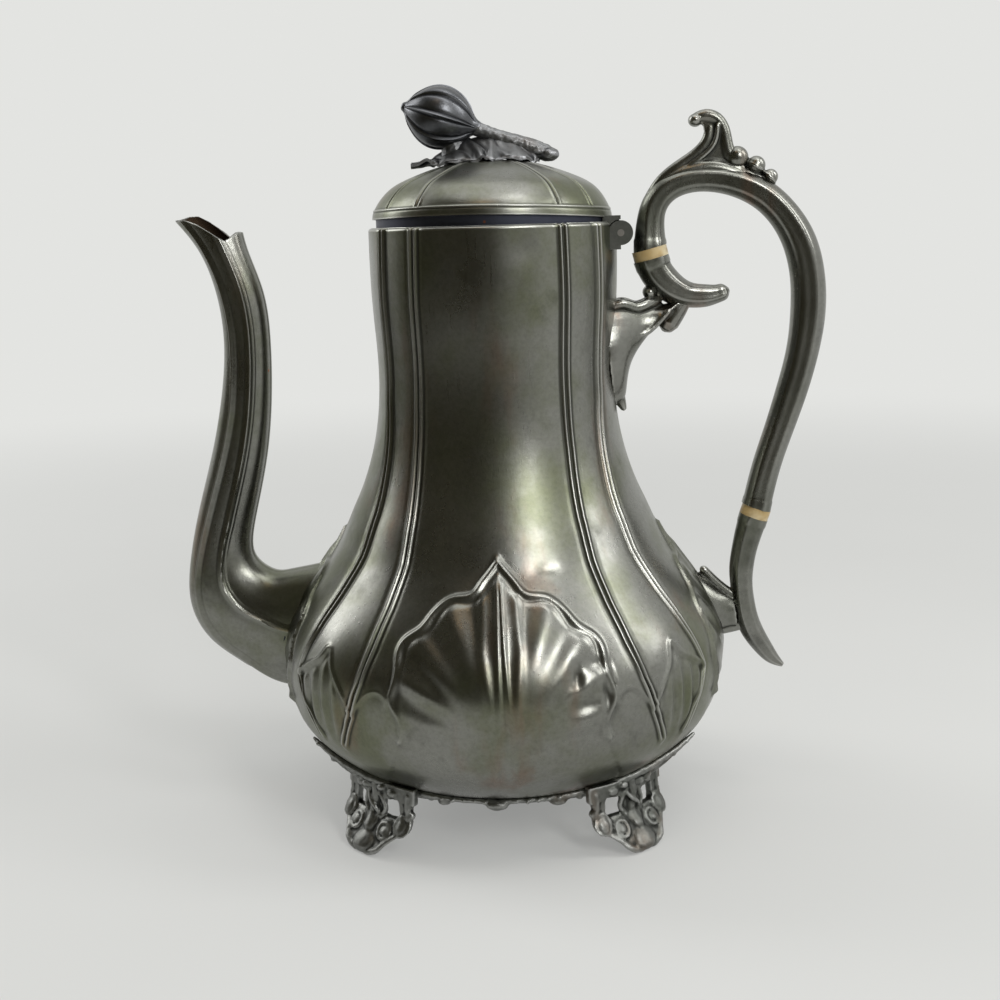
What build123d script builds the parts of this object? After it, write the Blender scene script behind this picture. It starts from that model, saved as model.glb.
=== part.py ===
from build123d import *
import os
from math import cos, hypot, radians, sin

# Hot water pot with a hinged lid, in millimetres.
# The origin is on the vessel's axis at table level. +X points to the handle and +Z up.

# Vessel
wall = 1.5
base_radius = 30.0
base_height = 17.0
belly_radius = 82.4
belly_height = 57.0
shoulder_radius = 65.6
shoulder_height = 95.5
neck_radius = 42.8
neck_height = 166.0
rim_radius = 44.3
rim_height = 213.7
solder_gap = 0.05
cut_height = 10.0

# Relief worked into the vessel's sheet
relief_height = 0.8
rib_half_width = 2.0
rib_end_gap = 1.0

# Mouth ring inside the top of the neck
mouth_ring_depth = 8.0
lid_clearance = 0.8

# Lid
lid_radius = 42.4
lid_wall = 1.3
lid_lift = 2.3
lid_rise = 20.6
bezel_depth = 8.0
bezel_wall = 1.0
bezel_overlap = 2.4
bezel_gap_half_width = 27.0

# Hinge
hinge_out = 0.3
hinge_drop = 3.6
hinge_half_length = 16.0
knuckle_radius = 4.2
centre_knuckle_half = 5.8
knuckle_clearance = 0.35
leaf_back = 6.2
hinge_slot = 0.8
leaf_under_knuckle = 1.4
leaf_side_gap = 0.3
pin_radius = 1.2
pin_running_fit = 0.05

# Base band and feet
band_thickness = 2.2
band_low = 22.0
band_high = 27.0
foot_overlap = 0.5
foot_window_height = 10.0
foot_window_width = 5.0
foot_window_low = 8.5
foot_knob_height = 7.5
foot_knob_width = 6.0
foot_toe_slope = 1.5
foot_radius = 64.0
foot_half_width = 18.0
foot_thickness = 4.4
toe_half_width = 4.5
toe_kick = 4.8
foot_count = 4

# Spout
spout_wall = 1.6
spout_mouth_cut = 4.0
lip_cut_height = 40.0
strainer_radius = 14.0
strainer_height = 68.0
strainer_hole_radius = 1.2
strainer_hole_pitch = 4.0

# Handle
handle_drop = 156.7
handle_step = 38.1
insulator_thickness = 3.6
insulator_proud = 0.1
tenon_radius = 2.0
tenon_depth = 6.0
bracket_half_thickness = 4.5
bracket_leaf_thickness = 2.0
bracket_scroll_radius = 2.4
upper_leaf_half_width = 18.0
lower_leaf_half_width = 9.0
scroll_half_thickness = 3.8

# Finial
finial_leaf_thickness = 2.0
finial_leaf_half_width = 13.0
finial_leaf_from = -26.0
finial_leaf_to = 21.0
finial_boss_radius = 4.0
fruit_boss_x = -14.5
fruit_boss_height = 8.0
stud_boss_height = 4.0
finial_gap = 0.05
fruit_radius = 10.9
fruit_length = 27.3
fruit_nub_radius = 0.8
fruit_end_radius = 2.2
stud_radius = 2.0
stud_height = 3.0
stud_below_nut = 1.5
washer_radius = 6.0
washer_thickness = 1.0
nut_radius = 4.5
nut_thickness = 3.0

os.makedirs("parts", exist_ok=True)

base_edge = (base_radius, base_height)
belly_edge = (belly_radius, belly_height)
shoulder = (shoulder_radius, shoulder_height)
neck = (neck_radius, neck_height)
rim = (rim_radius, rim_height)


def between(first, second, radius_share, height_share):
    """A point between two others, by its share of their step in radius and in height."""
    radius = first[0] + radius_share * (second[0] - first[0])
    return (radius, first[1] + height_share * (second[1] - first[1]))


# Outline of the vessel from the edge of the base plate to the rim, as radius and height
body_outline = [
    base_edge,
    between(base_edge, belly_edge, 0.458, 0.085),
    between(base_edge, belly_edge, 0.775, 0.3625),
    between(base_edge, belly_edge, 0.962, 0.7125),
    belly_edge,
    between(belly_edge, shoulder, 0.137, 0.3765),
    shoulder,
    between(shoulder, neck, 0.64, 0.355),
    between(shoulder, neck, 0.9385, 0.688),
    neck,
    between(neck, rim, 0.8, 0.461),
    rim,
]

lid_height = rim_height + lid_lift
lid_top = lid_height + lid_rise

# Outline of the lid from its edge to its top
lid_outline = [
    (lid_radius, lid_height),
    (lid_radius - 1.5, lid_height + 5.0),
    (lid_radius - 6.2, lid_height + 11.0),
    (lid_radius - 14.2, lid_top - 5.4),
    (lid_radius - 28.4, lid_top - 1.1),
    (0.0, lid_top),
]

hinge_x = rim_radius + hinge_out
hinge_z = rim_height - hinge_drop


def inset_outline(outline, inset):
    """The outline's points, each moved inward along the outline's normal."""
    moved = []
    last = len(outline) - 1
    for i, (radius, height) in enumerate(outline):
        before = outline[max(i - 1, 0)]
        after = outline[min(i + 1, last)]
        run = after[0] - before[0]
        rise = after[1] - before[1]
        length = hypot(run, rise)
        moved.append((radius - inset * rise / length, height + inset * run / length))
    return moved


def revolved(outline, extra_height=0.0):
    """A solid of revolution under a smooth outline, raised past its end by extra_height."""
    first = outline[0]
    end = outline[-1]
    top = end[1] + extra_height
    with BuildPart() as solid:
        with BuildSketch(Plane.YZ):
            with BuildLine():
                Spline(*outline)
                if extra_height:
                    Line(end, (end[0], top))
                Polyline((end[0], top), (0, top), (0, first[1]), first)
            make_face()
        revolve(axis=Axis.Z)
    return solid.part


def lid_solid(inset):
    """The lid's dome as a solid, with its surface moved inward by inset."""
    points = inset_outline(lid_outline, inset)
    points[-1] = (0.0, lid_top - inset)
    with BuildPart() as solid:
        with BuildSketch(Plane.YZ):
            with BuildLine():
                Spline(*points, tangents=((0, 1), (-1, 0)))
                Polyline(points[-1], (0, lid_height - 1), (points[0][0], lid_height - 1), points[0])
            make_face()
        revolve(axis=Axis.Z)
        with BuildSketch(Plane.XY.offset(lid_height)):
            Circle(2 * lid_radius)
        extrude(amount=-lid_radius, mode=Mode.SUBTRACT)
    return solid.part


def station_plane(x, z, run, rise):
    """A plane across a path in the XZ plane that heads along (run, rise)."""
    return Plane(origin=(x, 0, z), x_dir=(0, 1, 0), z_dir=(run, 0, rise))


def round_bar(stations):
    """A bar of changing radius along stations of (x, z, radius)."""
    last = len(stations) - 1
    with BuildPart() as bar:
        for i, (x, z, radius) in enumerate(stations):
            before = stations[max(i - 1, 0)]
            after = stations[min(i + 1, last)]
            with BuildSketch(station_plane(x, z, after[0] - before[0], after[1] - before[1])):
                Circle(radius)
        loft()
    return bar.part


vessel_outside = revolved(body_outline)
vessel_inside = revolved(inset_outline(body_outline, wall), extra_height=cut_height)

# Vessel wall: a pear-shaped shell with a notch for the hinge and a hole for the strainer
with BuildPart() as vessel_shell:
    add(vessel_outside)
    add(vessel_inside, mode=Mode.SUBTRACT)
    with BuildSketch():
        Circle(base_radius)
    extrude(amount=belly_height, mode=Mode.SUBTRACT)

# Ribs: bearings from the front, one for each height of the outline from the belly to the rim
inner_rib = [42.4, 38.5, 35.5, 32.8, 33.6, 35.8, 36.1, 35.7, 34.6]
outer_rib = [54.5, 59.0, 58.9, 54.1, 53.4, 57.3, 59.2, 58.6, 56.7]
rib_heights = body_outline[-len(inner_rib):-1] + [(rim_radius, rim_height - rib_end_gap)]

# Broad leaf: half of its scalloped edge from the tip down, as shares of the belly's radius
# and of the rise from the belly to the shoulder
leaf_edge_shares = [
    (0.0, 1.286),
    (0.039, 1.195),
    (0.109, 1.04),
    (0.238, 0.948),
    (0.28, 0.857),
    (0.377, 0.686),
    (0.411, 0.571),
    (0.425, 0.416),
    (0.456, 0.169),
    (0.416, -0.065),
    (0.424, -0.208),
]
leaf_foot_share = -0.545


def rib_edge(bearings, side, shift):
    """One edge of a rib seen from the front, beside its middle line by shift."""
    return [
        (side * (radius * sin(radians(bearing)) + shift * cos(radians(bearing))), height)
        for (radius, height), bearing in zip(rib_heights, bearings)
    ]


def leaf_place(side, radius_share, rise_share):
    """A point of the broad leaf seen from the front."""
    return (side * radius_share * belly_radius, belly_height + rise_share * (shoulder_height - belly_height))


with BuildPart() as relief_skin:
    add(revolved(inset_outline(body_outline, -relief_height)))
    add(revolved(inset_outline(body_outline, wall / 2), extra_height=cut_height), mode=Mode.SUBTRACT)

# Vessel relief: four ribs and a broad leaf on the front and on the back
with BuildPart() as vessel_relief:
    with BuildSketch(Plane.XZ):
        for bearings in (inner_rib, outer_rib):
            for side in (1, -1):
                with BuildLine():
                    near_edge = Spline(*rib_edge(bearings, side, -rib_half_width))
                    far_edge = Spline(*rib_edge(bearings, side, rib_half_width))
                    Line(near_edge @ 0, far_edge @ 0)
                    Line(near_edge @ 1, far_edge @ 1)
                make_face()
        with BuildLine():
            right_edge = Spline(*[leaf_place(1, *shares) for shares in leaf_edge_shares])
            left_edge = Spline(*[leaf_place(-1, *shares) for shares in leaf_edge_shares])
            ThreePointArc(right_edge @ 1, leaf_place(1, 0, leaf_foot_share), left_edge @ 1)
        make_face()
    extrude(amount=2 * belly_radius, both=True)
    add(relief_skin.part, mode=Mode.INTERSECT)

hinge_leaf_low = hinge_z - knuckle_radius - leaf_under_knuckle
notch_half_width = hinge_half_length + solder_gap

with BuildPart() as pierced_shell:
    add(vessel_shell.part)
    add(vessel_relief.part)
    with BuildSketch(Plane.YZ):
        with Locations((0, strainer_height)):
            Circle(strainer_radius)
    extrude(amount=-2 * belly_radius, mode=Mode.SUBTRACT)
    with BuildSketch(Plane.XY.offset(hinge_leaf_low - solder_gap)):
        with Locations((rim_radius, 0)):
            Rectangle(rim_radius, 2 * notch_half_width)
    extrude(amount=rim_height, mode=Mode.SUBTRACT)

# Body halves: the shell is stamped in two and soldered under the spout and the handle
with BuildPart() as body_front_half:
    add(pierced_shell.part)
    split(bisect_by=Plane.XZ, keep=Keep.TOP)
body_front_half.part.label = "body_front_half"
export_step(body_front_half.part, "parts/body_front_half.step")

with BuildPart() as body_back_half:
    add(pierced_shell.part)
    split(bisect_by=Plane.XZ, keep=Keep.BOTTOM)
body_back_half.part.label = "body_back_half"
export_step(body_back_half.part, "parts/body_back_half.step")

# Base plate: the flat disc that closes the underside
with BuildPart() as base_plate:
    with BuildSketch(Plane.XY.offset(base_height)):
        Circle(base_radius - solder_gap)
    extrude(amount=wall)
base_plate.part.label = "base_plate"
export_step(base_plate.part, "parts/base_plate.step")

# Mouth ring: stiffens the neck's top from inside and guides the lid's bezel
mouth_radius = lid_radius - lid_wall + lid_clearance
with BuildPart() as mouth_ring:
    with BuildSketch(Plane.XY.offset(rim_height - mouth_ring_depth)):
        Circle(rim_radius - wall / 2)
        Circle(mouth_radius, mode=Mode.SUBTRACT)
    extrude(amount=mouth_ring_depth)
    add(vessel_shell.part, mode=Mode.SUBTRACT)
    with BuildSketch(Plane.XY.offset(hinge_leaf_low - solder_gap)):
        with Locations((rim_radius, 0)):
            Rectangle(rim_radius, 2 * notch_half_width)
    extrude(amount=rim_height, mode=Mode.SUBTRACT)
mouth_ring.part.label = "mouth_ring"
export_step(mouth_ring.part, "parts/mouth_ring.step")

# Foot band: a thin cast ring against the underside of the belly
band_outside = revolved(inset_outline(body_outline, -band_thickness))
with BuildPart() as foot_band:
    with BuildSketch(Plane.XY.offset(band_low)):
        Circle(belly_radius)
        Circle(base_radius, mode=Mode.SUBTRACT)
    extrude(amount=band_high - band_low)
    add(band_outside, mode=Mode.INTERSECT)
    add(vessel_outside, mode=Mode.SUBTRACT)
foot_band.part.label = "foot_band"
export_step(foot_band.part, "parts/foot_band.step")

# Foot: an openwork plate curved with the band, with three columns and a toe that kicks out
foot_top = band_high - foot_overlap
window_offset = 0.5 * (toe_half_width + foot_half_width - foot_window_width)
window_middle = foot_window_low + foot_window_height / 2
knob_low = foot_knob_height - foot_knob_width / 3
with BuildPart() as foot:
    with BuildSketch(Plane.XZ):
        with BuildLine():
            Polyline(
                (foot_radius - foot_thickness, foot_top),
                (foot_radius + 0.4, foot_top),
                (foot_radius - 0.8, 0.5 * foot_top),
                (foot_radius + 0.3 * toe_kick, 0.25 * foot_top),
                (foot_radius + toe_kick, foot_toe_slope),
                (foot_radius + toe_kick, 0),
                (foot_radius + toe_kick - foot_thickness, 0),
                (foot_radius - foot_thickness + 1.0, 0.3 * foot_top),
                (foot_radius - foot_thickness, 0.55 * foot_top),
                close=True,
            )
        make_face()
    revolve(axis=Axis.Z)
    add(band_outside, mode=Mode.SUBTRACT)
    with BuildSketch(Plane.YZ):
        with BuildLine():
            Polyline(
                (-foot_half_width, band_high),
                (foot_half_width, band_high),
                (foot_half_width, foot_knob_height),
                (foot_half_width - foot_knob_width / 2, knob_low),
                (foot_half_width - foot_knob_width, foot_knob_height),
                (toe_half_width + foot_toe_slope, foot_toe_slope),
                (toe_half_width, 0),
                (-toe_half_width, 0),
                (-toe_half_width - foot_toe_slope, foot_toe_slope),
                (foot_knob_width - foot_half_width, foot_knob_height),
                (foot_knob_width / 2 - foot_half_width, knob_low),
                (-foot_half_width, foot_knob_height),
                close=True,
            )
        make_face()
        with Locations((window_offset, window_middle), (-window_offset, window_middle)):
            SlotOverall(foot_window_height, foot_window_width, rotation=90, mode=Mode.SUBTRACT)
    extrude(amount=2 * foot_radius, mode=Mode.INTERSECT)

foot_names = ["foot_back_right", "foot_back_left", "foot_front_left", "foot_front_right"]
for turn, foot_name in enumerate(foot_names):
    placed_foot = Rot(0, 0, (turn + 0.5) * 360 / foot_count) * foot.part
    placed_foot.label = foot_name
    export_step(placed_foot, f"parts/{foot_name}.step")

# Spout: stations of (outer point, inner point, half width), from the lip down to the root
spout_stations = [
    ((belly_radius + 32.1, rim_height + 5.8), (belly_radius + 5.1, rim_height + 3.8), 7.6),
    ((belly_radius + 22.9, rim_height - 5.8), (belly_radius + 4.3, rim_height - 6.3), 7.8),
    ((belly_radius + 17.7, rim_height - 20.1), (belly_radius + 0.7, rim_height - 20.5), 7.8),
    ((belly_radius + 15.8, rim_height - 38.2), (belly_radius - 1.0, rim_height - 38.5), 7.8),
    ((belly_radius + 17.6, rim_height - 56.2), (belly_radius - 0.4, rim_height - 56.6), 8.4),
    ((belly_radius + 22.4, belly_height + 79.0), (belly_radius + 2.6, belly_height + 76.5), 9.2),
    ((belly_radius + 28.2, belly_height + 59.5), (belly_radius + 7.6, belly_height + 55.8), 9.8),
    ((belly_radius + 33.8, belly_height + 36.0), (belly_radius + 10.0, belly_height + 42.0), 10.5),
    ((belly_radius + 34.2, belly_height + 20.0), (belly_radius + 7.6, belly_height + 36.3), 11.5),
    ((belly_radius + 28.1, belly_height + 7.5), (belly_radius + 2.1, belly_height + 32.8), 12.6),
    ((belly_radius + 16.1, belly_height - 2.2), (belly_radius - 3.4, belly_height + 33.0), 13.8),
    ((belly_radius + 3.6, belly_height - 10.0), (belly_radius - 8.9, belly_height + 34.0), 15.0),
    ((belly_radius - 12.4, belly_height - 13.0), (belly_radius - 19.4, belly_height + 36.0), 16.0),
]


def spout_solid(inset, overrun):
    """The spout as a loft of ovals, thinner by inset and moved by overrun at its mouth."""
    with BuildPart() as solid:
        for i, (outer, inner, half_width) in enumerate(spout_stations):
            across = Vector(inner[0] - outer[0], 0, outer[1] - inner[1])
            along = across.cross(Vector(0, 1, 0)).normalized()
            middle = Vector(-(outer[0] + inner[0]) / 2, 0, (outer[1] + inner[1]) / 2)
            if i == 0:
                middle = middle - along * overrun
            deep = across.length / 2 - inset
            wide = half_width - inset
            slant_x = deep * cos(radians(45))
            slant_y = wide * sin(radians(45))
            with BuildSketch(Plane(origin=middle, x_dir=-across, z_dir=along)):
                with BuildLine():
                    for side in (1, -1):
                        Spline(
                            (side * deep, 0),
                            (side * slant_x, side * slant_y),
                            (0, side * wide),
                            (-side * slant_x, side * slant_y),
                            (-side * deep, 0),
                            tangents=((0, side), (0, -side)),
                        )
                make_face()
        loft()
    return solid.part


# The pouring lip: a beak at the outer side, a low notch, and a short ear at the inner side
lip_reach = belly_radius + 31.2
with BuildPart() as lip_cut:
    with BuildSketch(Plane.XZ):
        with BuildLine():
            Polyline(
                (-lip_reach - 12, rim_height + 5.6),
                (-lip_reach, rim_height + 4.1),
                (-lip_reach + 8.0, rim_height - 0.2),
                (-lip_reach + 17.5, rim_height - 3.0),
                (-lip_reach + 24.5, rim_height + 0.1),
                (-lip_reach + 36, rim_height + 0.1),
                (-lip_reach + 36, rim_height + lip_cut_height),
                (-lip_reach - 12, rim_height + lip_cut_height),
                close=True,
            )
        make_face()
    extrude(amount=belly_radius, both=True)

with BuildPart() as spout_shell:
    add(spout_solid(0, 0))
    add(spout_solid(spout_wall, spout_mouth_cut), mode=Mode.SUBTRACT)
    add(lip_cut.part, mode=Mode.SUBTRACT)
    add(vessel_outside, mode=Mode.SUBTRACT)

# Spout halves: cast in two and joined along the middle plane
with BuildPart() as spout_front_half:
    add(spout_shell.part)
    split(bisect_by=Plane.XZ, keep=Keep.TOP)
spout_front_half.part.label = "spout_front_half"
export_step(spout_front_half.part, "parts/spout_front_half.step")

with BuildPart() as spout_back_half:
    mirror(spout_front_half.part, about=Plane.XZ)
spout_back_half.part.label = "spout_back_half"
export_step(spout_back_half.part, "parts/spout_back_half.step")

# Spout strainer: the patch of wall behind the spout, with rings of small holes
hole_rings = int((strainer_radius - 2 * strainer_hole_radius) / strainer_hole_pitch)
with BuildPart() as spout_strainer:
    add(vessel_shell.part)
    with BuildSketch(Plane.YZ):
        with Locations((0, strainer_height)):
            Circle(strainer_radius - solder_gap)
    extrude(amount=-2 * belly_radius, mode=Mode.INTERSECT)
    with BuildSketch(Plane.YZ):
        with Locations((0, strainer_height)):
            Circle(strainer_hole_radius)
            for ring in range(1, hole_rings + 1):
                with PolarLocations(ring * strainer_hole_pitch, 6 * ring):
                    Circle(strainer_hole_radius)
    extrude(amount=-2 * belly_radius, mode=Mode.SUBTRACT)
spout_strainer.part.label = "spout_strainer"
export_step(spout_strainer.part, "parts/spout_strainer.step")


def handle_point(out, up, *radius):
    """A point of the handle out and up from the rim, drawn to the belly as it comes down to it."""
    share = max(0, -up / handle_drop)
    x = rim_radius + out + share * (belly_radius - rim_radius - handle_step)
    return (x, rim_height + up * (rim_height - belly_height) / handle_drop, *radius)


# Handle: joints and stations of (x, z, radius) along the middle line of each bar
upper_joint = handle_point(11.35, -11.25, 6.1)
above_upper_joint = handle_point(8.85, -1.55)
lower_joint = handle_point(48.9, -105.2, 5.2)
above_lower_joint = handle_point(52.2, -95.8)

grip_stations = [
    lower_joint,
    handle_point(52.9, -88.1, 5.15),
    handle_point(56.4, -77.2, 5.2),
    handle_point(61.7, -60.7, 5.6),
    handle_point(65.3, -46.6, 5.8),
    handle_point(67.0, -32.7, 6.2),
    handle_point(66.5, -19.7, 6.1),
    handle_point(63.3, -7.7, 5.9),
    handle_point(57.9, 1.2, 5.5),
    handle_point(51.3, 7.6, 5.3),
    handle_point(42.9, 11.9, 5.0),
    handle_point(33.7, 13.9, 4.6),
    handle_point(24.2, 13.6, 4.5),
    handle_point(16.6, 10.2, 4.5),
    handle_point(12.8, 5.2, 4.6),
    handle_point(11.4, -1.5, 5.0),
    upper_joint,
]
socket_upper_stations = [
    upper_joint,
    handle_point(13.1, -17.1, 6.0),
    handle_point(16.3, -21.3, 5.8),
    handle_point(20.9, -24.7, 5.2),
    handle_point(26.2, -26.3, 4.3),
    handle_point(31.7, -26.4, 3.8),
    handle_point(36.4, -25.4, 2.9),
]
socket_lower_stations = [
    lower_joint,
    handle_point(46.9, -111.7, 5.0),
    handle_point(45.1, -118.9, 4.6),
    handle_point(44.0, -126.7, 4.4),
    handle_point(44.1, -132.9, 4.1),
    handle_point(44.7, -138.7, 4.2),
    handle_point(46.1, -145.2, 4.2),
    handle_point(48.5, -150.9, 4.0),
    handle_point(52.1, -156.5, 3.4),
    handle_point(55.9, -161.1, 2.4),
    handle_point(59.5, -163.8, 0.9),
]


def joint_plane(joint, above):
    """The plane across a joint, square to the line from the point above it."""
    return station_plane(*joint[:2], joint[0] - above[0], joint[1] - above[1])


upper_plane = joint_plane(upper_joint, above_upper_joint)
lower_plane = joint_plane(lower_joint, above_lower_joint)


def disc(plane, radius, half_length):
    """A disc centred on a plane: a washer's space between two bars, or a tenon pin."""
    with BuildPart() as solid:
        with BuildSketch(plane):
            Circle(radius)
        extrude(amount=half_length, both=True)
    return solid.part


pin_half_length = insulator_thickness / 2 + tenon_depth
hole_half_length = pin_half_length + solder_gap
joint_spaces = [
    disc(upper_plane, 3 * upper_joint[2], insulator_thickness / 2),
    disc(lower_plane, 3 * lower_joint[2], insulator_thickness / 2),
    disc(upper_plane, tenon_radius + solder_gap, hole_half_length),
    disc(lower_plane, tenon_radius + solder_gap, hole_half_length),
]

# Handle grip: the arched bar between the two insulators
with BuildPart() as handle_grip:
    add(round_bar(grip_stations))
    add(joint_spaces, mode=Mode.SUBTRACT)
handle_grip.part.label = "handle_grip"
export_step(handle_grip.part, "parts/handle_grip.step")

# Upper handle socket: a curl with a blunt end that carries the upper insulator
curl_end = socket_upper_stations[-1]
with BuildPart() as handle_socket_upper:
    add(round_bar(socket_upper_stations))
    with Locations((curl_end[0], 0, curl_end[1])):
        Sphere(curl_end[2])
    add(joint_spaces, mode=Mode.SUBTRACT)
handle_socket_upper.part.label = "handle_socket_upper"
export_step(handle_socket_upper.part, "parts/handle_socket_upper.step")

# Lower handle socket: a bar that runs down past its bracket to a pointed tail
with BuildPart() as handle_socket_lower:
    add(round_bar(socket_lower_stations))
    add(joint_spaces, mode=Mode.SUBTRACT)
handle_socket_lower.part.label = "handle_socket_lower"
export_step(handle_socket_lower.part, "parts/handle_socket_lower.step")

# Insulators: bone washers that keep the grip cool, each on a tenon pin
for place, plane, joint in [("upper", upper_plane, upper_joint), ("lower", lower_plane, lower_joint)]:
    with BuildPart() as insulator:
        with BuildSketch(plane):
            Circle(joint[2] + insulator_proud)
            Circle(tenon_radius + solder_gap, mode=Mode.SUBTRACT)
        extrude(amount=insulator_thickness / 2, both=True)
    insulator.part.label = f"insulator_{place}"
    export_step(insulator.part, f"parts/insulator_{place}.step")

    tenon = disc(plane, tenon_radius, pin_half_length)
    tenon.label = f"tenon_{place}"
    export_step(tenon, f"parts/tenon_{place}.step")

with BuildPart() as leaf_skin:
    add(revolved(inset_outline(body_outline, -bracket_leaf_thickness)))
    add(vessel_outside, mode=Mode.SUBTRACT)


def bracket_leaf(foot, tip, half_width):
    """A pointed leaf on the vessel's handle side, between two heights down from the rim."""
    low = handle_point(0, foot)[1]
    high = handle_point(0, tip)[1]
    middle = high - 0.4 * (high - low)
    below = (0.62 * half_width, 0.45 * low + 0.55 * middle)
    above = (0.8 * half_width, 0.8 * high + 0.2 * middle)
    with BuildPart() as leaf:
        with BuildSketch(Plane.YZ.offset(base_radius)):
            with BuildLine():
                ThreePointArc((0, low), below, (half_width, middle))
                ThreePointArc((half_width, middle), above, (0, high))
                mirror(about=Plane.YZ)
            make_face()
        extrude(amount=2 * belly_radius)
        add(leaf_skin.part, mode=Mode.INTERSECT)
    return leaf.part


# Upper handle bracket: a leaf on the neck with a curved arm and a small scroll under the curl
bracket_scroll = handle_point(11.0, -25.3)
with BuildPart() as handle_bracket_upper:
    with BuildSketch(Plane.XZ):
        with BuildLine():
            Spline(
                handle_point(-3.0, -66.2),
                handle_point(3.4, -58.9),
                handle_point(12.8, -48.3),
                handle_point(18.2, -41.2),
                handle_point(22.5, -32.0),
            )
            Polyline(
                handle_point(22.5, -32.0),
                handle_point(20.5, -25.5),
                handle_point(13.5, -20.5),
                handle_point(9.8, -29.5),
            )
            Spline(
                handle_point(9.8, -29.5),
                handle_point(6.7, -31.2),
                handle_point(-0.2, -26.7),
                handle_point(-4.0, -24.5),
            )
            Line(handle_point(-4.0, -24.5), handle_point(-3.0, -66.2))
        make_face()
    extrude(amount=bracket_half_thickness, both=True)
    with Locations((bracket_scroll[0], 0, bracket_scroll[1])):
        Cylinder(bracket_scroll_radius, 2 * bracket_half_thickness, rotation=(90, 0, 0))
    add(bracket_leaf(-66.3, -26.5, upper_leaf_half_width))
    add(vessel_outside, mode=Mode.SUBTRACT)
    add(handle_socket_upper.part, mode=Mode.SUBTRACT)
handle_bracket_upper.part.label = "handle_bracket_upper"
export_step(handle_bracket_upper.part, "parts/handle_bracket_upper.step")

# Lower handle bracket: a short arm from a leaf on the belly to the lower socket
with BuildPart() as handle_bracket_lower:
    with BuildSketch(Plane.XZ):
        with BuildLine():
            Polyline(
                handle_point(20.0, -127.0),
                handle_point(33.5, -129.8),
                handle_point(40.6, -134.5),
                handle_point(44.2, -135.5),
                handle_point(46.0, -147.0),
                handle_point(42.5, -149.5),
                handle_point(38.8, -153.5),
                handle_point(20.0, -158.0),
                close=True,
            )
        make_face()
    extrude(amount=bracket_half_thickness, both=True)
    add(bracket_leaf(-160.0, -122.0, lower_leaf_half_width))
    add(vessel_outside, mode=Mode.SUBTRACT)
    add(handle_socket_lower.part, mode=Mode.SUBTRACT)
handle_bracket_lower.part.label = "handle_bracket_lower"
export_step(handle_bracket_lower.part, "parts/handle_bracket_lower.step")

# Thumb scroll: a leaf that rises from the grip's arch and curls back over the lid
with BuildPart() as thumb_scroll:
    with BuildSketch(Plane.XZ):
        with BuildLine():
            Spline(
                handle_point(9.8, 8.0),
                handle_point(14.9, 14.7),
                handle_point(21.9, 19.9),
                handle_point(27.8, 23.8),
                handle_point(30.6, 27.8),
                handle_point(30.0, 32.2),
                handle_point(26.8, 34.0),
                handle_point(25.6, 36.0),
                handle_point(30.9, 37.9),
                handle_point(35.0, 36.4),
                handle_point(38.5, 30.9),
                handle_point(39.3, 25.0),
                handle_point(41.5, 17.0),
            )
            Polyline(
                handle_point(41.5, 17.0),
                handle_point(41.5, 13.0),
                handle_point(24.0, 14.0),
                handle_point(14.0, 8.0),
                handle_point(9.8, 8.0),
            )
        make_face()
    extrude(amount=scroll_half_thickness, both=True)
    add(handle_grip.part, mode=Mode.SUBTRACT)
thumb_scroll.part.label = "thumb_scroll"
export_step(thumb_scroll.part, "parts/thumb_scroll.step")

# Berries: three balls of falling size in a row behind the thumb scroll
berries = [
    handle_point(43.8, 21.2, 3.9),
    handle_point(49.8, 17.5, 3.1),
    handle_point(54.4, 13.6, 2.5),
]
berry_balls = []
for x, z, radius in berries:
    with BuildPart() as berry:
        with Locations((x, 0, z)):
            Sphere(radius)
        add(handle_grip.part, mode=Mode.SUBTRACT)
        add(thumb_scroll.part, mode=Mode.SUBTRACT)
        for ball in berry_balls:
            add(ball, mode=Mode.SUBTRACT)
    berry_balls.append(berry.part)
thumb_berries = Compound(children=berry_balls)
thumb_berries.label = "thumb_berries"
export_step(thumb_berries, "parts/thumb_berries.step")


def barrel(radius, low, high):
    """A cylinder along the hinge's axis between two places on Y."""
    with BuildPart() as solid:
        with BuildSketch(Plane(origin=(hinge_x, low, hinge_z), x_dir=(1, 0, 0), z_dir=(0, 1, 0))):
            Circle(radius)
        extrude(amount=high - low)
    return solid.part


outer_knuckle_from = centre_knuckle_half + knuckle_clearance
swept_radius = knuckle_radius + knuckle_clearance

# Hinge leaf on the body: let into a notch in the rim, with the two outer knuckles
with BuildPart() as hinge_body_leaf:
    with BuildSketch(Plane.XY.offset(hinge_leaf_low)):
        with Locations((hinge_x, 0)):
            Rectangle(leaf_back, 2 * hinge_half_length, align=(Align.MAX, Align.CENTER))
    extrude(amount=hinge_z - hinge_slot / 2 - hinge_leaf_low)
    add(barrel(swept_radius, -outer_knuckle_from, outer_knuckle_from), mode=Mode.SUBTRACT)
    for side in (-1, 1):
        ends = sorted((side * outer_knuckle_from, side * hinge_half_length))
        add(barrel(knuckle_radius, *ends))
    add(barrel(pin_radius, -hinge_half_length, hinge_half_length), mode=Mode.SUBTRACT)
hinge_body_leaf.part.label = "hinge_body_leaf"
export_step(hinge_body_leaf.part, "parts/hinge_body_leaf.step")

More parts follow.
